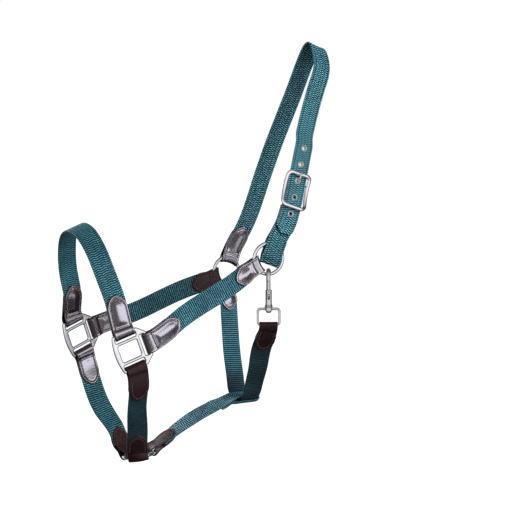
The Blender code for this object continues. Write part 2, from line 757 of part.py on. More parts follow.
def far_cheek_route():
    u, v, _ = square_axes(1)
    axis = ring_axis(FAR_RING_YAW, 1)
    end = in_plane((0.94, 0.05, 0.33), axis)
    points = [square_bar(FAR_SQUARE, 1, "rear"), (-225, 67, -327.2), (-188, 62, -313), (-150, 57, -299.3),
              vec(FAR_RING) - 24 * end, FAR_RING]
    return Route(points, orient({0: -v, 5: np.cross(axis, end)}, (0, 0, -1)), u, end)


def chin_route():
    """From the chin ring back to the lowest part of the throat strap."""
    rim, way = ring_rim(CHIN_RING, CHIN_RING_AXIS, (1, 0, 0))
    across = np.cross(unit(CHIN_RING_AXIS), way)
    points = [rim, (-212, 0, -471.5), (-180, 0, -454), (-146, 0, -441.5), (-120, 0, -438), (-92, 0, -438)]
    widths = {0: across, 2: (0, -0.96, -0.26), 3: (0, -0.97, -0.24), 4: (0, -1, 0), 5: (0, -1, 0)}
    route = Route(points, orient(widths, (0, -1, 0)), in_plane((0.8, 0, 0.6), across), (1, 0, 0))
    route.cup(0.0, -way, RING_RADIUS, 5.0, 9.0)
    route.cup(route.length, (0, 0, 1), THROAT_BEND, 30.0, 18.0)
    return route


def throat_route(snap):
    """From the snap's eye, under the throat, up to the far ring's centre."""
    axis = ring_axis(FAR_RING_YAW, 1)
    start = unit((0.05, 0.30, -0.95))
    start = unit(start - snap.q * start.dot(snap.q))
    end = in_plane((-0.02, 0.10, 1.0), axis)
    lean = THROAT_BEND * math.sin(math.radians(45))
    rise = THROAT_BEND - lean
    foot = vec(FAR_RING) + vec((THROAT_OFFSET, 0, 0))
    points = [snap.spot(0, 0, EYE_BAR_Z), (-109, -52, -362), (-106.5, -38, -391), (-105, -26, -414),
              (-104, -lean, -438 + rise), (-104, 0, -438), (-104, lean, -438 + rise), (-102, 25, -415),
              (-99.5, 36, -391), (-97, 45, -365), (-95.5, 51, -338), foot - 24 * end, foot]
    widths = {0: snap.q, 4: (1, 0, 0), 6: (1, 0, 0), 12: np.cross(axis, end)}
    return Route(points, orient(widths), start, end)


def crown_strap(crown, middle):
    """The webbing over the poll, its billet through the buckle, and the five eyelets set in it."""
    knots = [(middle - 75, 0.0), (middle - 57, BILLET_N), (middle + BILLET_TIP, BILLET_N)]
    path = straight(WEB_AT_RING, middle - 75, 7.0)[:-1] + eased(knots, 4.0)
    widths = [WEB_WIDTH / 2] * len(path)
    for i, share in enumerate((0.35, 0.75, 0.94)):
        widths[-1 - i] *= share
    strap = add_object("crown_strap", *band(crown, path, widths, WEB_THICK), WEB)
    for k in range(5):
        s = middle + BAR_S - TONGUE_REACH - 0.3 + EYELET_PITCH * (k - 2)
        base, _, _, out = crown.frame(s)
        centre = base + BILLET_N * out
        hole = rod(centre - 4 * out, centre + 4 * out, EYELET_BARREL + GAP + 0.1, 12)
        combine(strap, add_object(f"eyelet_hole_{k + 1}", *hole), "DIFFERENCE")
        eyelet(f"eyelet_{k + 1}", crown, s, BILLET_N)


def chape(crown, middle):
    """A webbing band from the buckle's centre bar down to the near ring, its two ends meeting at the back."""
    bar = middle + BAR_S
    ring_s = crown.length
    over_bar = BAR_RADIUS + GAP + HALF_WEB
    over_ring = RING_WIRE + GAP + HALF_WEB
    front = [(bar, BAR_N + over_bar), (bar + 8, CHAPE_N), (ring_s - 29.5, CHAPE_N),
             (ring_s - 21.5, over_ring), (ring_s - 4, over_ring), (ring_s + 4.0, 1.9)]
    back = [(ring_s - 4, -over_ring), (ring_s - 21.5, -over_ring), (ring_s - 29.5, -CHAPE_N),
            (bar + 30, -CHAPE_N)]
    path = eased([(bar + 26, -CHAPE_N), (bar + 12, -CHAPE_N), (bar, BAR_N - over_bar)], 4.0)
    path += arc(bar, BAR_N, over_bar, -90, -270)
    path += eased(front, 4.0)[1:]
    path += arc(ring_s + 4.0, 0.0, 1.9, 90, -90)
    path += eased([(ring_s + 4.0, -1.9)] + back, 4.0)[1:]
    widths = [WEB_WIDTH / 2 - 1.6 * smooth_step((s - ring_s + 18) / 10) for s, n in path]
    item = add_object("buckle_chape", *band(crown, path, widths, WEB_THICK), WEB)
    base, along, across, out = crown.frame(middle)
    centre = base + BAR_S * along + (BAR_N - 1.0) * out
    slot = add_object("tongue_slot", *block(centre, (along, across, out), (5.6, 1.7, 5.5)))
    combine(item, slot, "DIFFERENCE")


def arc(s, n, radius, start, end, turns=6):
    """Points inside an arc about (s, n), from angle start to end in degrees, without its two ends."""
    points = []
    for k in range(1, turns):
        turn = math.radians(start + (end - start) * k / turns)
        points.append((s + radius * math.cos(turn), n + radius * math.sin(turn)))
    return points


def chin_strap(chin):
    """From the chin ring's leather end back to a webbing loop round the throat strap."""
    end = chin.length
    clear = HALF_WEB + GAP + HALF_WEB + 0.6
    knots = [(end - 64, 0.0), (end - 50, -CHAPE_N), (end - 34, -CHAPE_N), (end - 28, -clear), (end, -clear)]
    lower = [(end, clear), (end - 28, clear), (end - 34, CHAPE_N), (end - 50, CHAPE_N)]
    path = straight(WEB_START, end - 64)[:-1] + eased(knots, 4.0)
    path += arc(end, 0.0, clear, -90, 90) + eased(lower, 4.0)
    add_object("chin_strap", *band(chin, path, WEB_WIDTH / 2, WEB_THICK, 3), WEB)


def build():
    clear_scene()
    snap = Snap()
    crown = crown_route()
    noseband = noseband_route()
    near_lower = near_lower_route()
    far_lower = far_lower_route()
    near_cheek = near_cheek_route()
    far_cheek = far_cheek_route()
    chin = chin_route()
    throat = throat_route(snap)
    half = WEB_WIDTH / 2

    # fittings
    halter_square("near_square", NEAR_SQUARE, -1)
    halter_square("far_square", FAR_SQUARE, 1)
    ring("near_ring", NEAR_RING, ring_axis(NEAR_RING_YAW, -1))
    ring("far_ring", FAR_RING, ring_axis(FAR_RING_YAW, 1))
    ring("chin_ring", CHIN_RING, CHIN_RING_AXIS)
    snap.body()
    snap.bolt()
    snap.spring()
    snap.eye()

    # crown strap, buckle and chape
    middle = crown.length - BUCKLE_FROM_RING
    buckle(crown, middle)
    crown_strap(crown, middle)
    chape(crown, middle)

    # leather and webbing
    ring_cup(crown, 0)
    leather_end("crown_far_ring_tab", crown, 0, ring_opening(), 62, columns=2)
    ring_cup(near_cheek, 1)
    ring_cup(far_cheek, 1)
    ring_cup(throat, 1)
    leather_end("near_cheek_front_tab", near_cheek, 0, bar_opening(), 47)
    leather_end("near_cheek_ring_tab", near_cheek, 1, ring_opening(), 52, waist=10.4, columns=2)
    leather_end("far_cheek_front_tab", far_cheek, 0, bar_opening(), 47)
    leather_end("far_cheek_ring_tab", far_cheek, 1, ring_opening(), 52, waist=10.4, columns=2)
    leather_end("noseband_far_tab", noseband, 0, bar_opening(), 46)
    leather_end("noseband_near_tab", noseband, 1, bar_opening(), 46)
    leather_end("near_lower_square_tab", near_lower, 0, bar_opening(), 42)
    leather_end("near_lower_chin_tab", near_lower, 1, bar_opening(3.4), 34, columns=3)
    leather_end("far_lower_chin_tab", far_lower, 0, bar_opening(3.4), 34, columns=3)
    leather_end("far_lower_square_tab", far_lower, 1, bar_opening(), 42)
    leather_end("chin_strap_tab", chin, 0, bar_opening(3.4), 36, columns=3)
    leather_end("throat_snap_tab", throat, 0, bar_opening(EYE_WIRE + GAP + 0.2), 36, waist=11.0)
    leather_end("throat_far_ring_tab", throat, 1, ring_opening(), 50, columns=2, waist=8.5)

    for name, route, start, end in (
            ("near_cheek_strap", near_cheek, WEB_START, near_cheek.length - WEB_AT_RING),
            ("far_cheek_strap", far_cheek, WEB_START, far_cheek.length - WEB_AT_RING),
            ("noseband_top", noseband, WEB_START, noseband.length - WEB_START),
            ("near_lower_noseband", near_lower, WEB_START, near_lower.length - WEB_START),
            ("far_lower_noseband", far_lower, WEB_START, far_lower.length - WEB_START),
            ("throat_strap", throat, WEB_START, throat.length - WEB_AT_RING)):
        add_object(name, *band(route, straight(start, end), half, WEB_THICK), WEB)
    chin_strap(chin)


build()
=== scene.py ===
"""Looks for the head halter: webbing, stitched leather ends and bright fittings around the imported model.

Lengths are in millimetres and become metres as each mesh is made. Every strap follows the same Route as its
CAD solid. On a strap laid flat, d runs along it, w across it, and height stands off its middle plane.
"""
import json
import math

import bmesh
import bpy
import numpy as np
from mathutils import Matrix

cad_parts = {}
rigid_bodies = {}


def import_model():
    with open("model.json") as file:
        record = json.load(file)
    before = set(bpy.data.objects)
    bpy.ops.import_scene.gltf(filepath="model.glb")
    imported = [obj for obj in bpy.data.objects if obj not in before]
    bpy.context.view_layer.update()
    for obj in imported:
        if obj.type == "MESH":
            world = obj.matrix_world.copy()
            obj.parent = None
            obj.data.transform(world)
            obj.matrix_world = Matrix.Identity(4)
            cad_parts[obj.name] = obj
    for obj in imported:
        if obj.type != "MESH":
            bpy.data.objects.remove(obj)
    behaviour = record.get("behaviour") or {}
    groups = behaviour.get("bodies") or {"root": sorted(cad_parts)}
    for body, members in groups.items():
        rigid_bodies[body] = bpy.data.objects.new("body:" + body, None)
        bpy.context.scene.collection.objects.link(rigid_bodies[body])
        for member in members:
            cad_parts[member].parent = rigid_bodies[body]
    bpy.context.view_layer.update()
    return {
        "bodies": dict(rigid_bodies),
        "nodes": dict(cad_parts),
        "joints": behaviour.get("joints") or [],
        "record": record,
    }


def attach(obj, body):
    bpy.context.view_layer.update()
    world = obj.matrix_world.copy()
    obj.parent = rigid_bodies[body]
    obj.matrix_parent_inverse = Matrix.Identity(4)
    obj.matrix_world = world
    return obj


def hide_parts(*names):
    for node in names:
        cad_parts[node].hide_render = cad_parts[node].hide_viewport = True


MM = 0.001

# ---- the CAD's driving dimensions, mm ----
WEB_WIDTH = 25.0
HALF_WEB = 1.1                 # half the webbing's thickness
LEATHER_WIDTH = 24.5
LEATHER_THICK = 1.8
GAP = 0.3
STITCHED_GAP = HALF_WEB + GAP
WEB_START = 14.5               # where webbing starts, from a bar's centre
WEB_AT_RING = 32.5             # and from a ring's centre
OGIVE = 17.0                   # the pointed length of a leather end
RING_RADIUS = 18.75
RING_WIRE = 2.25
SQUARE_THICK = 4.4
SQUARE_ROUND = 1.85            # the cast bars are nearly round
SQUARE_PITCH_V = 21.25
SQUARE_PITCH_U = 23.25
SQUARE_YAW = math.radians(8)
SQUARE_TILT = math.radians(19.5)
BUCKLE_WIRE = 1.75
BUCKLE_HALF_WIDTH = 15.0
BUCKLE_HALF_LENGTH = 20.5
BUCKLE_SIDE_N = 4.8
BUCKLE_BOW = 3.9
BUCKLE_BAND = 2.35             # half the width of the flattened band that the frame is made of
BUCKLE_SPREAD = 1.04
BAR_S, BAR_N = -9.5, -1.3      # the buckle's centre bar, from the buckle's middle
BAR_RADIUS = 1.3
TONGUE_WIRE = 1.1
TONGUE_REACH = BAR_RADIUS + 0.25 + TONGUE_WIRE
BILLET_N = 4.8                 # how far out the billet lies on the buckle
CHAPE_N = 1.4                  # and each layer of a doubled strap
EYELET_HOLE = 2.3
EYELET_FLANGE = 4.1
EYELET_PITCH = 20.8
EYELET_CUT = 3.2               # the webbing's hole
NEAR_SQUARE = (-292, -62, -348)
FAR_SQUARE = (-299, 66, -349)
NEAR_RING = (-105, -60, -254)
FAR_RING = (-97, 56, -283)
CHIN_RING = (-251, 0, -488)
NEAR_RING_AXIS = (-math.sin(math.radians(8)), -math.cos(math.radians(8)), 0)
FAR_RING_AXIS = (-math.sin(math.radians(4)), math.cos(math.radians(4)), 0)
CHIN_RING_AXIS = (-0.12, 0.07, 0.99)
BUCKLE_FROM_RING = 89.0
BILLET_TIP = 55.0
CHAPE_OFFSET = 2.6
THROAT_OFFSET = 2.5
THROAT_BEND = 22.0
SNAP_YAW = math.radians(30)
SNAP_SHIFT = 0.2
SNAP_WIRE_P = 7.8
SNAP_WIRE_Z = 38.6
BARREL_RADIUS = 4.0
BARREL_TOP = 21.0
BORE_RADIUS = 2.3
BORE_FLOOR = 2.5
BOLT_RADIUS = 1.95
BOLT_FOOT = 13.0
HOOK_TIP = 31.0
STUD_Z = 17.5
EYE_BAR_Z = -22.0
EYE_HALF_WIDTH = 13.0
EYE_WIRE = 1.5
EYE_BOSS = 4.2
SHANK_RADIUS = 2.0

# a strap's bend across its width: its radius, how far along it is full, and how far it fades
RING_CUP = (32.0, 22.0, 9.0)
CHIN_CUP = (RING_RADIUS, 5.0, 9.0)
THROAT_CUP = (THROAT_BEND, 30.0, 18.0)

# how a leather end opens from its fold: (distance from the bar or ring, half the inner gap) points
AT_BAR = ((0.0, 3.4), (2.0, 3.4), (11.0, STITCHED_GAP))
AT_RING = ((15.6, 2.6), (21.4, 2.6), (30.0, STITCHED_GAP))
AT_EYE = ((0.0, EYE_WIRE + GAP + 0.2), (2.0, EYE_WIRE + GAP + 0.2), (11.0, STITCHED_GAP))

# ---- surface detail, mm ----
RIB_PITCH = 2.6                # the weave's cross ribs
RIB_HEIGHT = 0.24
RIB_COLUMNS = 9.4              # two neighbouring columns of floats
FILAMENT_PITCH = 0.62
PAINTED_SHADE_EASE = 30.0                # over which a strap's painted shade eases off
# how strongly the weave's colour is painted darker in its valleys (painted shade) and lighter on its floats
# (painted sheen)
PAINTED_WEAVE_CONTRAST = 0.85
FLAT_RELIEF = 0.25             # the plain leather ends are nearly flat
SEAM_INSET = 3.0               # stitching, from a leather edge
STITCH_PITCH = 3.1
STITCH_LENGTH = 2.2
STITCH_RADIUS = 0.34

# ---- camera and stage, m ----
CAMERA_AT = (-1.0358, -1.5803, -0.0318)
CAMERA_TARGET = (-0.0863, 0.0, -0.2582)
LENS = 105.0
STUDIO_FRONT = (-0.4324, -0.8827, 0.1838)
FLOOR_Z = -1.20
FLOOR_SPAN = 12.0
FLOOR_SHADOW_FADE = 3.6
WHITE = (1.0, 1.0, 1.0, 1.0)


# ---------------------------------------------------------------- small helpers

def vec(values):
    return np.array(values, dtype=float)


def unit(v):
    v = np.asarray(v, dtype=float)
    return v / np.linalg.norm(v, axis=-1, keepdims=True)


def in_plane(way, axis):
    """The direction way, turned square to axis."""
    axis = unit(axis)
    return unit(way - axis * vec(way).dot(axis))


def smooth_step(t):
    t = np.clip(t, 0.0, 1.0)
    return t * t * (3 - 2 * t)


def run(start, end, step=1.0):
    count = max(1, round(abs(end - start) / step))
    return [start + (end - start) * i / count for i in range(count + 1)]


def flat_run(start, end):
    return [(s, 0.0) for s in run(start, end)]


def eased(knots):
    """(s, n) points that ease from knot to knot."""
    path = []
    for (s0, n0), (s1, n1) in zip(knots, knots[1:]):
        for s in run(s0, s1)[:-1]:
            path.append((s, n0 + (n1 - n0) * smooth_step((s - s0) / (s1 - s0))))
    return path + [knots[-1]]


def arc(a, b, radius, start, end, turns=16, wide=1.0):
    """Points on an arc about (a, b), from angle start to end in degrees. wide stretches it along b."""
    turned = [math.radians(start + (end - start) * k / turns) for k in range(turns + 1)]
    return [(a + radius * math.cos(t), b + wide * radius * math.sin(t)) for t in turned]


def path_lengths(path):
    """The distance along a path to each of its points."""
    gaps = np.linalg.norm(np.diff(np.array(path, float), axis=0), axis=1)
    return np.concatenate([[0.0], np.cumsum(gaps)])


def new_object(name, data):
    item = bpy.data.objects.new(name, data)
    bpy.context.scene.collection.objects.link(item)
    return item


def shade(mesh, sharp):
    """Smooth shading with hard edges above the angle sharp, in degrees."""
    mesh.shade_smooth()
    mesh.set_sharp_from_angle(angle=math.radians(sharp))


def make_mesh(name, verts, faces, materials, indices=None, strap=None, sharp=60):
    """A mesh object from points in mm. strap is a vector for each point, which the materials read."""
    mesh = bpy.data.meshes.new(name)
    mesh.from_pydata((np.asarray(verts, float) * MM).tolist(), [], faces)
    for mat in materials:
        mesh.materials.append(mat)
    if strap is not None:
        mesh.polygons.foreach_set("material_index", indices)
        layer = mesh.attributes.new("strap", "FLOAT_VECTOR", "POINT")
        layer.data.foreach_set("vector", np.asarray(strap, np.float32).ravel())
    bm = bmesh.new()
    bm.from_mesh(mesh)
    bmesh.ops.remove_doubles(bm, verts=bm.verts, dist=0.000002)
    bmesh.ops.recalc_face_normals(bm, faces=bm.faces)
    bm.to_mesh(mesh)
    bm.free()
    shade(mesh, sharp)
    return new_object(name, mesh)


def stand_in(item, body, node):
    """Puts a finished piece in the place of a CAD node."""
    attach(item, body)
    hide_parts(node)


def join_parts(parts):
    """Several (verts, faces) as one."""
    verts, faces = [], []
    for points, polygons in parts:
        start = len(verts)
        verts += list(points)
        faces += [tuple(start + i for i in face) for face in polygons]
    return verts, faces


def applied(item):
    """The mesh that an object's modifiers or curve settings make."""
    return bpy.data.meshes.new_from_object(item.evaluated_get(bpy.context.evaluated_depsgraph_get()))


def combine(item, shape, operation):
    """Joins a (verts, faces) shape to item or cuts it out."""
    other = make_mesh("tool", *shape, item.data.materials[:])
    mod = item.modifiers.new("cut", "BOOLEAN")
    mod.operation = operation
    mod.object = other
    mod.solver = "EXACT"
    done = applied(item)
    item.modifiers.clear()
    item.data = done
    bpy.data.objects.remove(other, do_unlink=True)


def skin(rings):
    """The faces between neighbouring rings of point numbers."""
    faces = []
    for low, high in zip(rings, rings[1:]):
        for k, m in zip(range(len(low)), [*range(1, len(low)), 0]):
            faces.append(tuple(dict.fromkeys((low[k], low[m], high[m], high[k]))))
    return faces


def sweep(points, refs, half_ref, half_side, sides=16, closed=False, power=2.0):
    """A bar along points. Its section is a rounded box, half_ref towards refs and half_side across them."""
    pts = np.asarray(points, float)
    count = len(pts)
    if closed:
        along = unit(np.roll(pts, -1, axis=0) - np.roll(pts, 1, axis=0))
    else:
        along = unit(np.gradient(pts, axis=0))
    refs = np.broadcast_to(np.asarray(refs, float), pts.shape)
    refs = unit(refs - along * (along * refs).sum(axis=1, keepdims=True))
    side = np.cross(along, refs)
    half_ref = np.broadcast_to(half_ref, count)[:, None]
    half_side = np.broadcast_to(half_side, count)[:, None]
    verts = np.zeros((count, sides, 3))
    for k in range(sides):
        turn = 2 * math.pi * (k + 0.5) / sides
        a, b = (math.copysign(abs(x) ** (2 / power), x) for x in (math.cos(turn), math.sin(turn)))
        verts[:, k] = pts + a * half_ref * refs + b * half_side * side
    rings = np.arange(count * sides).reshape(count, sides).tolist()
    if closed:
        faces = skin(rings + rings[:1])
    else:
        faces = skin(rings) + [rings[0][::-1], rings[-1]]
    return verts.reshape(-1, 3), faces


def lathe(profile, centre, axis, steps=40):
    """An (r, h) outline turned about axis through centre. It is closed, or open from axis to axis."""
    axis = unit(axis)
    side = unit(np.cross(axis, (1, 0, 0) if abs(axis[0]) < 0.8 else (0, 1, 0)))
    other = np.cross(axis, side)
    turns = 2 * math.pi * np.arange(steps)[:, None] / steps
    way = np.cos(turns) * side + np.sin(turns) * other
    verts, rings = [], []
    for r, h in profile:
        count = steps if r else 1
        rings.append([len(verts) + k % count for k in range(steps)])
        verts += list((centre + r * way + h * axis)[:count])
    return verts, skin(rings)


def cylinder(start, end, radius, steps):
    length = np.linalg.norm(end - start)
    return lathe([(0.0, 0.0), (radius, 0.0), (radius, length), (0.0, length)], start, end - start, steps)


# ---------------------------------------------------------------- strap lines, as in the CAD

def curve_through(points, start_way, end_way, count=None):
    """A clamped cubic spline through points, as count places along it, or about one a millimetre."""
    pts = np.array([vec(p) for p in points])
    gaps = np.linalg.norm(np.diff(pts, axis=0), axis=1)
    knots = path_lengths(pts)
    before, after = gaps[:-1], gaps[1:]
    slants = np.diff(pts, axis=0) / gaps[:, None]
    matrix = np.diag(np.concatenate([[1.0], 2 * (before + after), [1.0]]))
    matrix[1:-1, :-2] += np.diag(after)
    matrix[1:-1, 2:] += np.diag(before)
    inner = 3 * (before[:, None] * slants[1:] + after[:, None] * slants[:-1])
    slopes = np.linalg.solve(matrix, np.concatenate([[start_way], inner, [end_way]]))
    u = np.linspace(0, knots[-1], count or int(knots[-1]) + 2)
    i = np.clip(np.searchsorted(knots, u) - 1, 0, len(pts) - 2)
    h = gaps[i, None]
    t = (u - knots[i])[:, None] / h
    return ((2 * t**3 - 3 * t**2 + 1) * pts[i] + (t**3 - 2 * t**2 + t) * h * slopes[i]
            + (3 * t**2 - 2 * t**3) * pts[i + 1] + (t**3 - t**2) * h * slopes[i + 1])


def rows_at(x, marks, rows):
    """Rows of three numbers, interpolated at x."""
    return np.stack([np.interp(x, marks, rows[:, k]) for k in range(3)], axis=-1)


class Route:
    """A strap's line: points and width directions, read by arc length. N points away from the head."""

    def __init__(self, points, widths, start_way, end_way, towards=None, cups=()):
        """widths are directions by point number; with towards, each is turned to that side.

        cups are (end, direction, size): near end 0 or 1 the strap bends across its width, as it does where it
        lies on a curved wire.
        """
        self.start_way, self.end_way = unit(start_way), unit(end_way)
        self.samples = curve_through(points, self.start_way, self.end_way)
        self.lengths = path_lengths(self.samples)
        self.length = self.lengths[-1]
        stops = path_lengths(points)
        stops = stops / stops[-1] * self.length
        self.width_marks = [stops[i] for i in widths]
        self.widths = np.array([unit(w) for w in widths.values()])
        if towards is not None:
            self.widths *= np.where(self.widths @ vec(towards) > 0, 1, -1)[:, None]
        self.cups = [(end * self.length, unit(way), *size) for end, way, size in cups]

    def point(self, s):
        s = np.asarray(s, float)
        before = np.minimum(s, 0.0)[..., None] * self.start_way
        after = np.maximum(s - self.length, 0.0)[..., None] * self.end_way
        return rows_at(s, self.lengths, self.samples) + before + after

    def frame(self, s):
        s = np.asarray(s, float)
        along = unit(self.point(s + 1.5) - self.point(s - 1.5))
        across = rows_at(s, self.width_marks, self.widths)
        across = unit(across - along * (along * across).sum(axis=-1, keepdims=True))
        return self.point(s), along, across, np.cross(along, across)

    def cupping(self, s, w):
        total = np.zeros(np.shape(s) + (3,))
        for at, way, radius, full, fade in self.cups:
            share = 1 - smooth_step((np.abs(s - at) - full) / fade)
            total += (share * (radius - np.sqrt(radius**2 - w**2)))[..., None] * way
        return total


class Strip:
    """A strap laid out flat along a path of (s, n) points on a route."""

    def __init__(self, route, path, step):
        path = np.array(path, float)
        path = path[np.concatenate([[True], np.hypot(*np.diff(path, axis=0).T) > 1e-6])]
        marks = path_lengths(path)
        self.route = route
        self.length = marks[-1]
        self.d = np.linspace(0, self.length, int(self.length / step) + 2)
        self.s, self.n = (np.interp(self.d, marks, path[:, k]) for k in (0, 1))
        slope = np.stack([np.gradient(self.s, self.d), np.gradient(self.n, self.d)])
        self.slope_s, self.slope_n = slope / np.hypot(*slope)

    def spot(self, d, w, height):
        """Points in the model's frame, in mm, for arrays of flat places."""
        s, n, slope_s, slope_n = (
            np.interp(d, self.d, row) for row in (self.s, self.n, self.slope_s, self.slope_n))
        base, along, across, out = self.route.frame(s)
        flat = base + n[..., None] * out + w[..., None] * across
        lift = slope_s[..., None] * out - slope_n[..., None] * along
        return flat + height[..., None] * lift + self.route.cupping(s - slope_n * height, w)


def square_axes(side):
    """u rearward, v up and n outward for the square on side -1 (near) or +1 (far)."""
    flat = vec((math.cos(SQUARE_YAW), side * math.sin(SQUARE_YAW), 0))
    up = vec((0, 0, 1))
    u = math.cos(SQUARE_TILT) * flat + math.sin(SQUARE_TILT) * up
    v = -math.sin(SQUARE_TILT) * flat + math.cos(SQUARE_TILT) * up
    n = vec((-math.sin(SQUARE_YAW), side * math.cos(SQUARE_YAW), 0))
    return u, v, n


def square_bar(side, which):
    u, v, _ = square_axes(side)
    shift = {"top": SQUARE_PITCH_V * v, "bottom": -SQUARE_PITCH_V * v, "rear": SQUARE_PITCH_U * u}[which]
    return vec(NEAR_SQUARE if side < 0 else FAR_SQUARE) + shift


def chin_rim(way):
    """The point on the chin ring's wire in the direction way, that direction, and the wire's own."""
    way = in_plane(way, CHIN_RING_AXIS)
    return vec(CHIN_RING) + RING_RADIUS * way, way, np.cross(unit(CHIN_RING_AXIS), way)


def crown_route():
    """From the far ring's centre, over the poll, down to the near ring's centre."""
    start = in_plane((0.33, -0.08, 1.0), FAR_RING_AXIS)
    end = in_plane((-0.36, -0.03, -0.93), NEAR_RING_AXIS)
    across = np.cross(NEAR_RING_AXIS, end)
    foot = vec(NEAR_RING) + CHAPE_OFFSET * across
    points = [FAR_RING, vec(FAR_RING) + 24 * start, (-76, 50.5, -231), (-55, 43, -173), (-35.8, 34, -113),
              (-14, 22.5, -50), (-5, 14.5, -18), (0, 0, HALF_WEB), (1, -13, -16), (-11.3, -24, -45),
              (-39.8, -39.5, -103), (-58.5, -50.5, -151), (-72, -57.5, -190), (-83.5, -60.5, -216),
              foot - 24 * end, foot]
    widths = {0: np.cross(start, FAR_RING_AXIS), 3: (0.937, -0.02, -0.34), 7: (0.93, 0, -0.36),
              11: (0.93, -0.06, -0.36), 15: across}
    return Route(points, widths, start, end, (1, 0, 0), [(0, -start, RING_CUP)])


def noseband_route():
    """From the far square's top bar, over the nose, to the near square's top bar."""
    far_u, far_v, _ = square_axes(1)
    near_u, near_v, _ = square_axes(-1)
    points = [square_bar(1, "top"), (-309, 58.5, -301), (-316.6, 51, -272), (-322.6, 42, -242),
              (-326, 28, -219.5), (-328.5, 0, -209.5), (-327.5, -26, -216), (-323, -41.5, -234),
              (-315.7, -51.5, -262), (-307.8, -57.5, -290), square_bar(-1, "top")]
    return Route(points, {0: far_u, 5: (0.94, 0, 0.34), 10: near_u}, far_v, -near_v)


def near_lower_route():
    """From the near square's bottom bar down to the chin ring."""
    u, v, _ = square_axes(-1)
    rim, way, across = chin_rim((-0.5, -0.87, 0))
    points = [square_bar(-1, "bottom"), (-280.3, -60, -392), (-276.2, -47, -420), (-267.5, -30, -453), rim]
    end = in_plane(-0.35 * way - vec(CHIN_RING_AXIS), across)
    widths = {0: u, 2: (0.98, 0, 0.15), 4: across}
    return Route(points, widths, -v, end, (1, 0, 0), [(1, -way, CHIN_CUP)])


def far_lower_route():
    """From the chin ring up to the far square's bottom bar."""
    u, v, _ = square_axes(1)
    rim, way, across = chin_rim((-0.5, 0.87, 0))
    points = [rim, (-268, 26, -462), (-276, 43, -441), (-283, 57, -414), square_bar(1, "bottom")]
    start = in_plane(0.6 * way + vec(CHIN_RING_AXIS), across)
    widths = {0: across, 2: (0.98, 0, 0.15), 4: u}
    return Route(points, widths, start, v, (1, 0, 0), [(0, -way, CHIN_CUP)])


def cheek_route(side, ring, axis, way, bends):
    """From a square's rear bar back to the ring's centre."""
    u, v, _ = square_axes(side)
    end = in_plane(way, axis)
    points = [square_bar(side, "rear"), *bends, vec(ring) - 24 * end, ring]
    widths = {0: v, 5: np.cross(axis, end)}
    return Route(points, widths, u, end, (0, 0, -side), [(1, end, RING_CUP)])


def chin_route():
    """From the chin ring back to the lowest part of the throat strap."""
    rim, way, across = chin_rim((1, 0, 0))
    points = [rim, (-212, 0, -471.5), (-180, 0, -454), (-146, 0, -441.5), (-120, 0, -438), (-92, 0, -438)]
    widths = {0: across, 2: (0, -0.96, -0.26), 3: (0, -0.97, -0.24), 4: (0, -1, 0), 5: (0, -1, 0)}
    cups = [(0, -way, CHIN_CUP), (1, (0, 0, 1), THROAT_CUP)]
    return Route(points, widths, in_plane((0.8, 0, 0.6), across), (1, 0, 0), (0, -1, 0), cups)


def throat_route(snap):
    """From the snap's eye, under the throat, up to the far ring's centre."""
    start = in_plane(unit((0.05, 0.30, -0.95)), snap.q)
    end = in_plane((-0.02, 0.10, 1.0), FAR_RING_AXIS)
    lean = THROAT_BEND * math.sin(math.radians(45))
    rise = THROAT_BEND - lean
    foot = vec(FAR_RING) + vec((THROAT_OFFSET, 0, 0))
    points = [snap.spot(0, 0, EYE_BAR_Z), (-109, -52, -362), (-106.5, -38, -391), (-105, -26, -414),
              (-104, -lean, -438 + rise), (-104, 0, -438), (-104, lean, -438 + rise), (-102, 25, -415),
              (-99.5, 36, -391), (-97, 45, -365), (-95.5, 51, -338), foot - 24 * end, foot]
    widths = {0: snap.q, 4: (1, 0, 0), 6: (1, 0, 0), 12: np.cross(FAR_RING_AXIS, end)}
    return Route(points, widths, start, end, (1, 0, 0), [(1, end, RING_CUP)])


# ---------------------------------------------------------------- materials

class Nodes:
    """The nodes of a material or a world, with last as the node that the others feed."""

    def __init__(self, owner, last):
        owner.use_nodes = True
        self.tree = owner.node_tree
        self.last = self.tree.nodes[last]

    def fill(self, socket, value):
        """Links an output to the socket, or sets a plain value on it."""
        if isinstance(value, bpy.types.NodeSocket):
            self.tree.links.new(value, socket)
        else:
            socket.default_value = value

    def shade(self, **values):
        """Fills sockets of the last node. An underscore in a key is a space in the socket's name."""
        for key, value in values.items():
            self.fill(self.last.inputs[key.replace("_", " ")], value)

    def add(self, kind, *values, **settings):
        """Adds a node. values fill its first sockets; settings are its sockets or properties by name."""
        node = self.tree.nodes.new("ShaderNode" + kind)
        for key, value in settings.items():
            if key in node.inputs:
                self.fill(node.inputs[key], value)
            else:
                setattr(node, key, value)
        for socket, value in zip(node.inputs, values):
            self.fill(socket, value)
        return node.outputs

    def maths(self, operation, *values):
        return self.add("Math", *values, operation=operation)[0]

    def noise(self, place, scale, detail, **settings):
        return self.add("TexNoise", place, Scale=scale, Detail=detail, **settings)["Fac"]

    def ramp(self, place, stops):
        """Colours along place, from (position, colour) stops. One number is a grey."""
        node = self.tree.nodes.new("ShaderNodeValToRGB")
        elements = node.color_ramp.elements
        while len(elements) < len(stops):
            elements.new(0.5)
        for element, (at, colour) in zip(elements, stops):
            element.position = at
            element.color = (*np.broadcast_to(colour, 3), 1.0)
        self.fill(node.inputs["Fac"], place)
        return node.outputs["Color"]

    def mix(self, share, first, second, blend="MIX"):
        node = self.tree.nodes.new("ShaderNodeMix")
        node.data_type = "RGBA"
        node.blend_type = blend
        for index, value in ((0, share), (6, first), (7, second)):
            self.fill(node.inputs[index], value)
        return node.outputs[2]

    def bump(self, height, distance, strength):
        self.shade(Normal=self.add("Bump", Height=height, Distance=distance, Strength=strength)["Normal"])


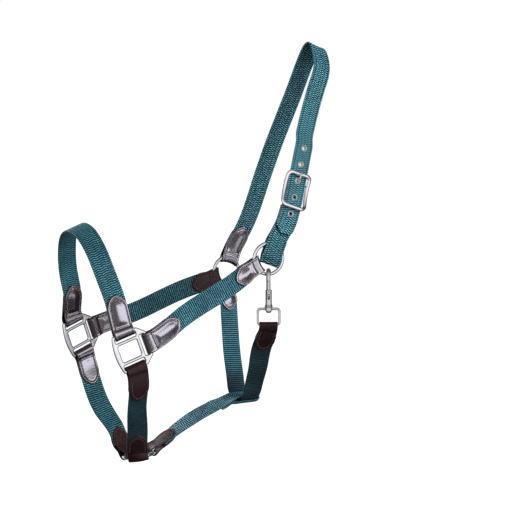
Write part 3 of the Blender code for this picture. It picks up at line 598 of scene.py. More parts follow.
def new_material(name, **values):
    mat = bpy.data.materials.new(name)
    nodes = Nodes(mat, "Principled BSDF")
    nodes.shade(**values)
    return mat, nodes


def webbing_material(name, shade_until=None, depth=1.0):
    """Ribbed nylon. The strap layer holds (d, w, rib) in mm, with rib from -1 in a valley to 1 on a float.
    The colour follows rib: painted shade darkens the valleys and a painted sheen lightens the floats, over
    the yarn's own teal.

    Given where it ends, painted shade darkens the colour by depth up to there, and then eases off.
    """
    mat, nodes = new_material(
        name, Metallic=0.25, Roughness=0.62, Specular_IOR_Level=0.28, Sheen_Weight=0.04, Sheen_Roughness=0.45,
        Sheen_Tint=(0.55, 0.80, 0.90, 1.0))
    strap = nodes.add("Attribute", attribute_name="strap")["Vector"]
    d, w, rib = nodes.add("SeparateXYZ", strap)
    filament = nodes.maths("SINE", nodes.maths("MULTIPLY", w, 2 * math.pi / FILAMENT_PITCH))
    patch = nodes.noise(strap, 0.45, 3.0, Roughness=0.6)
    broad = nodes.noise(strap, 0.035, 2.0)
    level = nodes.maths("MULTIPLY_ADD", rib, 0.55, 0.44)
    level = nodes.maths("MULTIPLY_ADD", filament, 0.06, level)
    for cloud in (patch, broad):
        level = nodes.maths("MULTIPLY_ADD", nodes.maths("SUBTRACT", cloud, 0.5), 0.30, level)
    # painted shade and sheen: near black in the valleys, light teal on the floats
    colour = nodes.ramp(level, [
        (0.0, (0.0008, 0.0050, 0.0075)), (0.30, (0.0020, 0.0140, 0.0200)), (0.52, (0.0075, 0.0560, 0.0730)),
        (0.76, (0.0360, 0.1850, 0.2300)), (1.0, (0.1550, 0.4800, 0.5450))])
    # painted shade: darker colour up to that length along the strap
    if shade_until is not None:
        ease = nodes.maths("DIVIDE", nodes.maths("SUBTRACT", d, shade_until), PAINTED_SHADE_EASE)
        colour = nodes.mix(1.0, colour, nodes.ramp(ease, [(0.0, depth), (1.0, 1.0)]), "MULTIPLY")
    nodes.shade(Base_Color=colour, Roughness=nodes.maths("MULTIPLY_ADD", patch, 0.25, 0.34))
    nodes.bump(nodes.maths("MULTIPLY_ADD", patch, 1.6, filament), 0.00009, 0.8)
    return mat


def leather_material(name, coat, low_rough, warmth, shine, grain_depth):
    """Smooth finished leather. The strap layer holds (d, w, distance from the cut edge) in mm."""
    mat, nodes = new_material(
        name, Roughness=0.38, Specular_IOR_Level=shine, Coat_Weight=coat, Coat_Roughness=low_rough,
        Coat_IOR=1.5, Coat_Tint=(0.95, 0.92, 1.0, 1.0))
    d, w, edge = nodes.add("SeparateXYZ", nodes.add("Attribute", attribute_name="strap")["Vector"])
    flat = nodes.add("CombineXYZ", d, w)[0]
    grain = nodes.add("TexVoronoi", flat, feature="F1", Scale=1.55, Randomness=0.95)["Distance"]
    mottle = nodes.noise(flat, 0.16, 5.0, Roughness=0.62)
    crease = nodes.noise(flat, 0.5, 4.0, Distortion=1.2)
    tone = nodes.ramp(mottle, [
        (0.25, (0.0050 * warmth, 0.0028, 0.0030)), (0.5, (0.0100 * warmth, 0.0056, 0.0060)),
        (0.75, (0.0190 * warmth, 0.0105, 0.0110))])
    worn = nodes.ramp(nodes.maths("MULTIPLY", edge, 0.5), [(0.0, 1.0), (0.45, 0.55), (0.8, 0.0)])
    nodes.shade(Base_Color=nodes.mix(worn, tone, (0.040, 0.020, 0.018, 1.0)),
                Roughness=nodes.maths("MULTIPLY_ADD", crease, 0.22, low_rough))
    nodes.bump(nodes.maths("MULTIPLY_ADD", crease, 1.4, grain), grain_depth, 0.5)
    return mat


def thread_material(name, dark, light):
    mat, nodes = new_material(name, Roughness=0.55, Sheen_Weight=0.2)
    place = nodes.add("TexCoord")["Object"]
    nodes.shade(Base_Color=nodes.ramp(nodes.noise(place, 900.0, 2.0), [(0.3, dark), (0.7, light)]))
    nodes.bump(nodes.add("TexWave", place, Scale=700.0, Distortion=2.0)["Fac"], 0.00006, 0.6)
    return mat


def metal_material(name, dark, light, smooth, rough, grain=120.0, depth=0.00002):
    """Plated metal: a little tone and polish variation, fine wear lines and casting ripple."""
    mat, nodes = new_material(name, Metallic=1.0, Roughness=smooth)
    place = nodes.add("TexCoord")["Object"]
    cloud = nodes.noise(place, grain, 4.0, Roughness=0.6)
    stretched = nodes.add("Mapping", place, vector_type="TEXTURE", Scale=(1.0, 0.25, 6.0))["Vector"]
    lines = nodes.noise(stretched, grain * 14, 2.0)
    polish = nodes.maths("MULTIPLY_ADD", nodes.maths("MULTIPLY", cloud, lines), (rough - smooth) * 3, smooth)
    nodes.shade(Base_Color=nodes.ramp(cloud, [(0.3, dark), (0.7, light)]), Roughness=polish)
    nodes.bump(nodes.maths("MULTIPLY_ADD", lines, 0.15, cloud), depth, 0.5)
    return mat


# ---------------------------------------------------------------- webbing

def rib_field(d, w, stagger):
    """How far the weave stands up, -1 to 1. At stagger 1, columns of floats are half a rib apart."""
    wave = np.sin(2 * math.pi * w / RIB_COLUMNS)
    column = 0.5 + 0.5 * np.tanh(3.5 * wave)
    phase = d / RIB_PITCH + 0.5 * stagger * column + 0.012 * w
    ridge = 0.5 + 0.5 * np.cos(2 * math.pi * phase)
    seam = stagger * 0.20 * np.exp(-(wave / 0.25) ** 2)
    return 2 * np.clip(ridge ** 0.8 - seam * ridge, 0, 1) - 1


def webbing(name, route, path, mat, stagger, interior=22, holes=(), tip=False, slot=None,
            painted_contrast=PAINTED_WEAVE_CONTRAST):
    """A woven strap along path, in the place of its CAD node.

    holes are (d, radius) on its centre line, slot is a (low d, high d, half width), and interior counts the
    columns of points between its edges.
    """
    strip = Strip(route, path, RIB_PITCH / 6)
    d = strip.d
    half = WEB_WIDTH / 2
    edge = half - np.array([0, 0.10, 0.35, 0.75])
    columns = np.concatenate([-edge, np.linspace(1.3 - half, half - 1.3, interior), edge[::-1]])
    share = np.ones(len(d))
    if tip:
        t = np.clip((strip.length - d) / 9.0, 0, 1)
        share = np.maximum((1 - (1 - t) ** 2.4) ** 0.7, 0.25)
    dd = np.repeat(d[:, None], len(columns), axis=1)
    w = share[:, None] * columns[None, :]
    from_edge = np.clip((half * share[:, None] - np.abs(w)) / 0.95, 0, 1)
    rounding = np.sqrt(np.clip(1 - (1 - from_edge) ** 2, 0, 1))
    outer = rib_field(dd, w, stagger)
    inner = rib_field(dd + RIB_PITCH / 2, w, stagger)
    lean = HALF_WEB - 0.12
    top = rounding * (lean + RIB_HEIGHT * outer * 0.75)
    low = -rounding * (lean + RIB_HEIGHT * inner * 0.75)
    wobble = 0.10 * np.sin(2 * math.pi * dd / RIB_PITCH) * (from_edge < 0.5)
    w = w + np.sign(w) * wobble * share[:, None]

    keep = np.ones((len(d) - 1, len(columns) - 1), bool)
    mid_d = 0.5 * (d[1:] + d[:-1])[:, None]
    mid_w = 0.5 * (columns[1:] + columns[:-1])[None, :]
    for at, radius in holes:
        keep &= np.hypot(mid_d - at, mid_w) > radius
    if slot:
        keep &= ~((mid_d > slot[0]) & (mid_d < slot[1]) & (np.abs(mid_w) < slot[2]))
    # this scales the weave's painted shade in the valleys and painted sheen on the floats, and deeper keeps
    # the mean tone
    deeper = 0.35 * (painted_contrast - PAINTED_WEAVE_CONTRAST)
    item = shell(name + "_woven", strip, dd, w, top, low, keep, [mat], outer * painted_contrast - deeper,
                 inner * painted_contrast - deeper)
    stand_in(item, "halter", name)


def shell(name, strip, dd, w, top, low, keep, materials, mark_top, mark_low, extra=None):
    """A closed sheet from its two surfaces, with holes where keep is false; the side edges are shared."""
    rows, cols = dd.shape
    upper = np.arange(rows * cols).reshape(rows, cols)
    lower = upper + rows * cols
    lower[:, 0] = upper[:, 0]
    lower[:, -1] = upper[:, -1]
    verts = np.concatenate([strip.spot(dd, w, height).reshape(-1, 3) for height in (top, low)])
    marks = np.concatenate([np.stack([dd, w, mark], axis=-1).reshape(-1, 3) for mark in (mark_top, mark_low)])
    around = np.pad(keep, 1)                       # keep[i, c] is around[i + 1, c + 1]
    faces = []
    for i, c in np.argwhere(keep):
        a, b, e, f = (i, c), (i, c + 1), (i + 1, c + 1), (i + 1, c)
        faces.append((upper[a], upper[b], upper[e], upper[f]))
        faces.append((lower[f], lower[e], lower[b], lower[a]))
        for beside, p, q in (((i, c + 1), b, a), ((i + 2, c + 1), f, e), ((i + 1, c), a, f),
                             ((i + 1, c + 2), e, b)):
            if not around[beside]:
                faces.append((upper[p], upper[q], lower[q], lower[p]))
    faces = [tuple(int(k) for k in dict.fromkeys(face)) for face in faces]
    faces = [face for face in faces if len(face) > 2]
    indices = [0] * len(faces)
    if extra:
        start = len(verts)
        more, polygons = extra
        verts = np.concatenate([verts, more])
        marks = np.concatenate([marks, np.zeros((len(more), 3))])
        faces += [tuple(start + k for k in face) for face in polygons]
        indices += [1] * len(polygons)
    used = np.zeros(len(verts), bool)
    used[np.concatenate([np.array(face) for face in faces])] = True
    renumber = np.cumsum(used) - 1
    faces = [tuple(int(renumber[k]) for k in face) for face in faces]
    return make_mesh(name, verts[used], faces, materials, indices, marks[used])


# ---------------------------------------------------------------- leather ends

def hairpin(origin, way, opening, length):
    """The middle line of a strip folded round a bar, as (s, n) points from the front tip to the back tip."""
    fold_at, fold_gap = opening[0]
    radius = fold_gap + LEATHER_THICK / 2
    leaf = [(d, gap + LEATHER_THICK / 2) for d, gap in eased(opening) if d < length - 0.5]
    leaf += [(d, leaf[-1][1]) for d in run(leaf[-1][0], length)[1:]]
    turns = [math.pi * k / 18 for k in range(1, 18)]
    bend = [(fold_at - radius * math.sin(turn), radius * math.cos(turn)) for turn in turns]
    line = leaf[::-1] + bend + [(d, -n) for d, n in leaf]
    return [(origin + way * d, n) for d, n in line]


def end_half_width(d, length, waist):
    """Half width along a folded leather strip: pointed at both tips, narrower at the fold if waist is set."""
    t = np.clip(np.minimum(d, length - d) / OGIVE, 0, 1)
    half = LEATHER_WIDTH / 2
    width = np.maximum(half * (1 - (1 - t) ** 2.2) ** 0.62, 0.8)
    if waist:
        width = np.minimum(width, waist + (half - waist) * smooth_step((np.abs(d - length / 2) - 14) / 14))
    return width


def seam_line(length, waist, crease):
    """The seam's flat line inside one pointed tip, from crease on one side round to crease on the other."""
    d = np.concatenate([np.linspace(0, OGIVE, 60), np.linspace(OGIVE, crease, 40)[1:]])
    w = end_half_width(d, length, waist)
    slope = unit(np.stack([np.gradient(d), np.gradient(w)], axis=-1))
    line = np.stack([d + SEAM_INSET * slope[:, 1], w - SEAM_INSET * slope[:, 0]], axis=-1)
    line = line[(line[:, 1] > 0.05) & (line[:, 0] > SEAM_INSET * 0.9) & (line[:, 0] < crease)]
    return np.concatenate([line[::-1], line * (1, -1)])


def stitches(strip, line, height, flip):
    """Separate thread stitches along a flat line, as (verts, faces)."""
    marks = path_lengths(line)
    parts = []
    for start in np.arange(0.6, marks[-1] - STITCH_LENGTH, STITCH_PITCH):
        at = start + STITCH_LENGTH * np.array([0.0, 0.12, 0.5, 0.88, 1.0])
        d, w = (np.interp(at, marks, line[:, k]) for k in (0, 1))
        d = strip.length - d if flip else d
        lift = height + np.array([-0.34, -0.02, 0.16, -0.02, -0.34]) * np.sign(height)
        points = strip.spot(d, w, lift)
        radii = STITCH_RADIUS * np.array([0.45, 0.9, 1.0, 0.9, 0.45])
        up = strip.spot(d, w, lift + np.sign(height)) - points
        parts.append(sweep(points, up, radii, radii, sides=6))
    return parts


def leather_end(name, route, end, opening, length, waist, mats, relief):
    """A leather end folded over a bar, with burnished edges, a stitched groove and a padded panel.

    It lies on end 0 or 1 of the route, and stands in for its CAD node. relief scales how far the panel and
    the cross seam stand in and out.
    """
    outside = 2 * end - 1
    strip = Strip(route, hairpin(end * route.length, -outside, opening, length), 0.5)
    total = strip.length
    crease = length - opening[0][0] - 7.5          # the cross seam, from the tip
    tip = np.concatenate([[0, 0.12, 0.35, 0.7], np.arange(1.1, 8.0, 0.55)])
    middle = np.linspace(8.0, total - 8.0, int((total - 16) / 0.9))
    d = np.concatenate([tip, middle, (total - tip)[::-1]])
    half = LEATHER_WIDTH / 2
    reach = half - np.array([0, 0.12, 0.35, 0.7, 1.2, 1.9, 2.4, 2.8, 3.1, 3.5, 4.0, 4.8, 6.0, 7.6, 9.6])
    ladder = np.concatenate([-reach, [0.0], reach[::-1]])
    w = ladder[None, :] * (end_half_width(d, total, waist) / half)[:, None]
    dd = np.repeat(d[:, None], w.shape[1], axis=1)

    outline_d = np.linspace(0, total, 420)
    from_tip = np.minimum(dd, total - dd)
    edge = np.full(dd.shape, 99.0)
    for a, b in zip(outline_d, end_half_width(outline_d, total, waist)):
        edge = np.minimum(edge, np.hypot(dd - a, np.abs(w) - b))
    edge = np.minimum(edge, from_tip + 0.02)
    edge[:, 0] = edge[:, -1] = 0.0
    to_crease = crease - from_tip
    inside = np.minimum(edge, np.where(to_crease > -1.2, np.maximum(to_crease, 0) + SEAM_INSET, edge))
    groove = -0.42 * np.exp(-((inside - SEAM_INSET) / 0.55) ** 2) * smooth_step((to_crease + 2.0) / 2.5)
    cross = -0.34 * relief * np.exp(-(to_crease / 0.8) ** 2) * (edge > 1.5)
    panel = 1.15 * relief * smooth_step((inside - SEAM_INSET - 0.3) / 8.5) * smooth_step(to_crease / 7.0)
    wrinkle = 0.015 * np.sin(dd * 1.7 + 2.0 * np.sin(w * 0.35)) * smooth_step(edge / 2.0)
    border = 0.16 * np.exp(-((edge - 1.5) / 0.8) ** 2)
    rounded = np.sqrt(np.clip(1 - (1 - np.clip(edge / 0.8, 0, 1)) ** 2, 0, 1))
    face = rounded * (LEATHER_THICK / 2 + groove + cross + panel + wrinkle + border)
    back = rounded * LEATHER_THICK / 2
    seat = outside * (LEATHER_THICK / 2 - 0.12)
    line = seam_line(total, waist, crease - 0.5)
    threads = join_parts(stitches(strip, line, seat, False) + stitches(strip, line, seat, True))
    keep = np.ones((len(d) - 1, w.shape[1] - 1), bool)
    item = shell(name + "_stitched", strip, dd, w, outside * face, -outside * back, keep, mats, edge, edge,
                 threads)
    stand_in(item, "halter", name)


# ---------------------------------------------------------------- metal fittings

def round_rect(low, high, radius, steps=8):
    a0, b0, a1, b1 = low[0] + radius, low[1] + radius, high[0] - radius, high[1] - radius
    corners = (a1, b1, 0), (a0, b1, 90), (a0, b0, 180), (a1, b0, 270)
    return [place for a, b, start in corners for place in arc(a, b, radius, start, start + 90, steps)]


def filled_loop(outline, step):
    """A closed outline with points no further apart than about step."""
    dense = []
    for (a0, b0), (a1, b1) in zip(outline, outline[1:] + outline[:1]):
        parts = max(1, round(math.hypot(a1 - a0, b1 - b0) / step))
        dense += [(a0 + (a1 - a0) * k / parts, b0 + (b1 - b0) * k / parts) for k in range(parts)]
    return dense


def rounded_outline(corners, rounds=2):
    """Cuts each corner of a closed outline until it runs smoothly."""
    points = [vec(p) for p in corners]
    for _ in range(rounds):
        cut = []
        for p, q in zip(points, points[1:] + points[:1]):
            cut += [0.8 * p + 0.2 * q, 0.2 * p + 0.8 * q]
        points = cut
    return points


def halter_square(name, centre, side, mat):
    """A cast frame with rounded bars: a window, three strap slots and a bowed side towards the nose."""
    bow = [(-18.8 + 3.2 * (v / 22.0) ** 2, v) for v in np.linspace(22.0, -22.0, 17)]
    outline = [(14.5, -23.5), (16.5, -22.5), (24.5, -15.0), (25.5, -13.0), (25.5, 13.0), (24.5, 15.0),
               (16.5, 22.5), (14.5, 23.5), (-13.8, 23.5)] + bow + [(-13.8, -23.5)]
    loops = [rounded_outline(outline)]
    for low, high, radius in (((-12.0, -10.0), (11.5, 10.0), 2.0), ((-12.8, 14.0), (12.8, 19.05), 1.2),
                              ((-12.8, -19.05), (12.8, -14.0), 1.2), ((15.8, -12.7), (21.05, 12.7), 1.2)):
        loops.append(round_rect(low, high, radius)[::-1])
    curve = bpy.data.curves.new(name, "CURVE")
    curve.dimensions = "2D"
    curve.fill_mode = "BOTH"
    curve.bevel_depth = SQUARE_ROUND
    curve.bevel_resolution = 6
    curve.offset = -SQUARE_ROUND
    curve.extrude = SQUARE_THICK / 2 - SQUARE_ROUND
    for loop in loops:
        spline = curve.splines.new("POLY")
        spline.points.add(len(loop) - 1)
        for point, (a, b) in zip(spline.points, loop):
            point.co = (a, b, 0.0, 1.0)
        spline.use_cyclic_u = True
    drawn = new_object(name + "_line", curve)
    flat = applied(drawn)
    verts = [vec(centre) + vec(p.co) @ square_axes(side) for p in flat.vertices]
    faces = [tuple(face.vertices) for face in flat.polygons]
    bpy.data.objects.remove(drawn, do_unlink=True)
    item = make_mesh(name, verts, faces, [mat], sharp=180)
    item.modifiers.new("shade", "WEIGHTED_NORMAL").keep_sharp = False
    stand_in(item, "halter", name)


def ring(name, centre, axis, mat):
    """Bent wire, closed by a flat welded seam."""
    steps = 96
    side = in_plane((1, 0, 0), axis)
    other = np.cross(unit(axis), side)
    turns = np.linspace(0, 2 * math.pi, steps, endpoint=False)[:, None] + 0.9
    points = vec(centre) + RING_RADIUS * (np.cos(turns) * side + np.sin(turns) * other)
    away = np.minimum(np.arange(steps), steps - np.arange(steps))
    weld = RING_WIRE * (1 - 0.05 * np.exp(-(away / 0.8) ** 2) + 0.03 * np.exp(-((away - 2.0) / 0.8) ** 2))
    stand_in(make_mesh(name, *sweep(points, axis, weld, weld, 20, True), [mat]), name, name)


def frame_height(s):
    """How far out the buckle frame's wire stands, s from its middle."""
    return BUCKLE_SIDE_N + BUCKLE_BOW * (s / BUCKLE_HALF_LENGTH) ** 2


def buckle(route, middle, mat):
    """The bowed frame with its centre bar, about s = middle, and the tongue that turns on the bar."""
    def spots(places):
        s, n, w = np.array(places, float).T
        base, _, across, out = route.frame(middle + s)
        return base + n[:, None] * out + w[:, None] * across, out

    _, along, across, _ = route.frame(middle)
    corner = (BUCKLE_HALF_LENGTH, BUCKLE_HALF_WIDTH)
    outline = filled_loop(round_rect((-corner[0], -corner[1]), corner, 5.5, 10), 1.2)
    line, out = spots([(a, frame_height(a), b * BUCKLE_SPREAD) for a, b in outline])
    band = sweep(line, out, BUCKLE_WIRE, BUCKLE_BAND, 20, True, 2.5)
    frame = make_mesh("buckle_frame_polished", *band, [mat])
    drop = [(BUCKLE_HALF_WIDTH, frame_height(BAR_S)), (14.7, 2.0), (14.4, 0.4), (13.9, -0.7), (13.0, BAR_N)]
    sunk = [(BAR_S, n, -w) for w, n in drop] + [(BAR_S, n, w) for w, n in reversed(drop)]
    line, _ = spots(curve_through(sunk, (0, -1, 0), (0, 1, 0), 60))
    combine(frame, sweep(line, along, BAR_RADIUS, BAR_RADIUS, 20), "UNION")
    shade(frame.data, 45)
    stand_in(frame, "halter", "buckle_frame")

    loop = arc(0, 0, TONGUE_REACH, -20, -180, 14)
    rise = [(-2.8, 3.0), (-3.0, 6.5), (-3.5, 9.6), (-5.2, 11.9), (-7.8, 12.95), (-11.0, 13.15), (-13.8, 12.9)]
    knots = [(BAR_S + a, BAR_N + b, 0) for a, b in loop + rise]
    line, _ = spots(curve_through(knots, (0.3, -1, 0), (-1, -0.1, 0), 60))
    thick = TONGUE_WIRE * (1 - 0.42 * smooth_step((np.linspace(0, 1, 60) - 0.86) / 0.14))
    tongue = make_mesh("buckle_tongue_polished", *sweep(line, across, thick, thick, 14), [mat])
    stand_in(tongue, "tongue", "buckle_tongue")


def eyelet(number, route, s, mat):
    """A rolled-flange eyelet: a round lip in front, a flat washer behind and a thin barrel between."""
    base, _, _, out = route.frame(s)
    low = HALF_WEB + GAP - 0.16
    profile = [(EYELET_HOLE, -low - 0.5), (EYELET_HOLE + 0.4, -low - 0.72),
               (EYELET_FLANGE - 0.5, -low - 0.66), (EYELET_FLANGE, -low - 0.35), (EYELET_FLANGE, -low),
               (2.75, -low), (2.75, low), (EYELET_FLANGE, low)]
    lip = (EYELET_FLANGE - EYELET_HOLE) / 2
    profile += arc(EYELET_HOLE + lip, low + 0.15, lip, 0, 180, 8, 0.95 / lip)
    shape = lathe(profile + profile[:1], base + BILLET_N * out, out, 32)
    item = make_mesh(f"eyelet_{number}_rolled", *shape, [mat], sharp=50)
    stand_in(item, "halter", f"eyelet_{number}")


class Snap:
    """The throat snap's own frame: spot(p, q, z) with z up from the collar's foot."""

    def __init__(self):
        self.p = vec((math.sin(SNAP_YAW), math.cos(SNAP_YAW), 0))
        self.q = vec((math.cos(SNAP_YAW), -math.sin(SNAP_YAW), 0))
        self.up = vec((0, 0, 1))
        wire = vec(NEAR_RING) - RING_RADIUS * self.up
        self.base = wire + SNAP_SHIFT * self.q - SNAP_WIRE_P * self.p - SNAP_WIRE_Z * self.up

    def spot(self, p, q, z):
        return self.base + p * self.p + q * self.q + z * self.up

    def finish(self, item, body, node):
        shade(item.data, 38)
        stand_in(item, body, node)

    def body(self, mat):
        """The hook on its barrel, bored for the bolt and slotted for its stud, with the shank's stud head."""
        head = -EYE_BOSS - 2 * GAP
        profile = [(0.0, head - 2.7), (1.6, head - 2.6), (2.8, head - 2.2), (3.5, head - 1.3),
                   (3.6, head - 0.3), (3.4, head), (SHANK_RADIUS, head), (SHANK_RADIUS, 0.0), (4.8, 0.0),
                   (5.2, 0.3), (5.2, 1.0), (4.9, 1.35), (4.55, 1.5), (4.75, 1.9), (4.75, 2.3), (4.35, 2.7),
                   (4.15, 3.4), (BARREL_RADIUS, 4.6), (BARREL_RADIUS, BARREL_TOP - 0.6),
                   (BARREL_RADIUS - 0.5, BARREL_TOP), (0.0, BARREL_TOP)]
        item = make_mesh("snap_body_cast", *lathe(profile, self.base, self.up, 48), [mat])
        knots = [(0, 0, HOOK_TIP), (0.2, 0, 35.5), (2.6, 0, 40.8), (7.8, 0, 43.7), (13.0, 0, 41.0),
                 (15.0, 0, 34.5), (12.6, 0, 26.0), (8.0, 0, 18.5), (2.5, 0, 12.0)]
        points = [self.spot(*place) for place in curve_through(knots, (0, 0, 1), (-0.6, 0, -0.8), 70)]
        share = np.linspace(0, 1, 70)
        broad = 2.0 + 0.75 * smooth_step(share / 0.25)
        deep = 2.0 + 0.25 * smooth_step(share / 0.3)
        combine(item, sweep(points, self.q, broad, deep, 20, power=2.3), "UNION")
        bore = cylinder(self.spot(0, 0, BORE_FLOOR), self.spot(0, 0, BARREL_TOP + 2.0), BORE_RADIUS, 32)
        combine(item, bore, "DIFFERENCE")
        slot_line = [self.spot(p, 0, 14.25) for p in (-0.6, -7.4)]
        slot = sweep(slot_line, self.up, 5.05, 1.5, 20, power=5.0)
        combine(item, slot, "DIFFERENCE")
        self.finish(item, "snap", "snap_body")

    def bolt(self, mat):
        top = HOOK_TIP - GAP
        profile = [(0.0, BOLT_FOOT), (BOLT_RADIUS - 0.3, BOLT_FOOT), (BOLT_RADIUS, BOLT_FOOT + 0.3),
                   (BOLT_RADIUS, top - 0.7), (BOLT_RADIUS - 0.35, top - 0.15), (BOLT_RADIUS - 0.9, top),
                   (0.0, top)]
        item = make_mesh("snap_bolt_turned", *lathe(profile, self.base, self.up, 32), [mat])
        stud = [(0.0, 0.5), (1.1, 0.5), (1.1, 4.6), (1.7, 5.2), (2.1, 5.6), (2.1, 6.6), (1.8, 7.1),
                (1.2, 7.35), (0.0, 7.4)]
        combine(item, lathe(stud, self.spot(0, 0, STUD_Z), -self.p, 24), "UNION")
        self.finish(item, "bolt", "snap_bolt")

    def eye(self, mat):
        """The swivel eye: rounded shoulders that taper in to a straight bar for the throat strap."""
        outline = filled_loop(round_rect((-EYE_HALF_WIDTH, EYE_BAR_Z), (EYE_HALF_WIDTH, -2.4), 3.4, 10), 1.0)
        points = [self.spot(0, a, b) for a, b in outline]
        stout = EYE_WIRE * (1 + 0.12 * smooth_step((np.array(outline)[:, 1] + 9) / 6))
        item = make_mesh("snap_swivel_eye_cast", *sweep(points, self.p, stout, stout, 18, True), [mat])
        rim = [(0.0, 0.0), (4.5, 0.0), (5.0, 0.4), (5.0, 3.8), (4.5, EYE_BOSS), (0.0, EYE_BOSS)]
        combine(item, lathe(rim, self.spot(0, 0, -GAP - EYE_BOSS), self.up, 36), "UNION")
        hole = cylinder(self.spot(0, 0, 3), self.spot(0, 0, -9), SHANK_RADIUS + GAP, 28)
        combine(item, hole, "DIFFERENCE")
        self.finish(item, "halter", "snap_swivel_eye")


# ---------------------------------------------------------------- stage

def aim(place, target):
    """Rotation that points a lamp's or camera's -Z from place to target, with its top up."""
    x, y, z = vec(target) - vec(place)
    return (math.atan2(math.hypot(x, y), -z), 0.0, math.atan2(-x, y))


def area_light(name, place, target, size, power, colour=(1, 1, 1)):
    data = bpy.data.lights.new(name, "AREA")
    data.shape = "RECTANGLE"
    data.size, data.size_y = size
    data.energy = power
    data.color = colour
    lamp = new_object(name, data)
    lamp.location = place
    lamp.rotation_euler = aim(place, target)
    return lamp


def build_camera():
    data = bpy.data.cameras.new("camera")
    data.lens = LENS
    data.sensor_width = 36.0
    data.clip_end = 50.0
    camera = new_object("camera", data)
    camera.location = CAMERA_AT
    camera.rotation_euler = aim(CAMERA_AT, CAMERA_TARGET)
    bpy.context.scene.camera = camera


def build_floor():
    """The floor glows with painted light, as lit paper would look, and the glow is darker close under the
    object as a painted shadow.
    """
    mat, nodes = new_material(
        "floor_glow_painted_shadow", Base_Color=(0.80, 0.80, 0.80, 1.0), Roughness=0.9, Emission_Strength=1.0)
    reach = nodes.add("VectorMath", nodes.add("TexCoord")["Object"], operation="LENGTH")["Value"]
    # painted shadow: the glow is dimmer near the middle, under the object
    nodes.shade(Emission_Color=nodes.ramp(nodes.maths("DIVIDE", reach, FLOOR_SHADOW_FADE), [
        (0.0, 0.34), (0.25, 0.45), (0.60, 0.80), (1.0, 0.90)]))
    mesh = bpy.data.meshes.new("floor")
    corners = [(a * FLOOR_SPAN, b * FLOOR_SPAN, 0) for a, b in ((-1, -1), (1, -1), (1, 1), (-1, 1))]
    mesh.from_pydata(corners, [], [(0, 1, 2, 3)])
    mesh.materials.append(mat)
    floor = new_object("floor", mesh)
    floor.location = (CAMERA_TARGET[0], CAMERA_TARGET[1], FLOOR_Z)
    floor.visible_diffuse = floor.visible_glossy = False


def build_world():
    """A white backdrop, even fill light, and the studio that polished metal reflects.

    That studio has soft boxes round a darker middle in front, and black flags at the sides.
    """
    world = bpy.data.worlds.new("studio")
    nodes = Nodes(world, "Background")
    place = nodes.add("TexCoord")["Generated"]
    height = nodes.add("SeparateXYZ", place)["Z"]
    levels = nodes.ramp(nodes.maths("MULTIPLY_ADD", height, 0.5, 0.5), [
        (0.0, (0.20, 0.20, 0.21)), (0.22, (0.45, 0.45, 0.47)), (0.42, 1.0), (0.62, 1.0),
        (0.80, (0.60, 0.60, 0.62)), (1.0, (0.30, 0.30, 0.31))])
    ahead = nodes.add("VectorMath", place, STUDIO_FRONT, operation="DOT_PRODUCT")["Value"]
    rounds = nodes.ramp(nodes.maths("MULTIPLY_ADD", ahead, 0.5, 0.5), [
        (0.0, (0.90, 0.90, 0.92)), (0.17, (0.85, 0.85, 0.87)), (0.29, (0.04, 0.04, 0.045)),
        (0.52, (0.03, 0.03, 0.035)), (0.64, (0.14, 0.14, 0.15)), (0.74, (0.85, 0.85, 0.88)), (0.86, 1.0),
        (0.93, (1.0, 0.99, 1.0)), (1.0, (0.80, 0.80, 0.82))])
    seen = nodes.add("LightPath")
    studio = nodes.mix(1.0, levels, rounds, "MULTIPLY")
    filled = nodes.mix(seen["Is Glossy Ray"], (0.27, 0.27, 0.285, 1.0), studio)
    nodes.shade(Color=nodes.mix(seen["Is Camera Ray"], filled, WHITE), Strength=1.0)
    bpy.context.scene.world = world
    bpy.context.scene.view_settings.view_transform = "Standard"


def build_lamps():
    """Matt lamps all round, and soft boxes whose gloss falls on the leather and webbing, not the metal."""
    matt = [area_light("key", (0.50, -1.70, 1.20), (-0.15, 0.0, -0.24), (1.2, 1.2), 68.0, (0.98, 0.97, 1.0))]
    for name, place, power in (("side", (-1.9, -0.7, 1.0), 5.0), ("back_key", (-0.50, 2.00, 0.25), 50.0),
                               ("end_key", (1.9, 1.0, 0.0), 20.0)):
        matt.append(area_light(name, place, (-0.15, 0.0, -0.3), (1.0, 1.0), power))
    for lamp in matt:
        lamp.visible_glossy = False
    soft = bpy.data.collections.new("soft_goods")
    for item in bpy.data.objects:
        if item.name.endswith(("_woven", "_stitched")):
            soft.objects.link(item)
    for name, place, size, power in (("gloss", (0.48, -1.60, -0.19), (1.7, 0.56), 33.0),
                                     ("low_gloss", (0.80, -1.26, -1.12), (0.9, 0.34), 5.0),
                                     ("back_gloss", (-0.60, 1.60, 0.05), (1.7, 0.90), 24.0)):
        lamp = area_light(name, place, (-0.15, 0.0, -0.28), size, power, (0.90, 0.89, 1.0))
        lamp.visible_diffuse = False
        lamp.light_linking.receiver_collection = soft


# ---------------------------------------------------------------- the halter

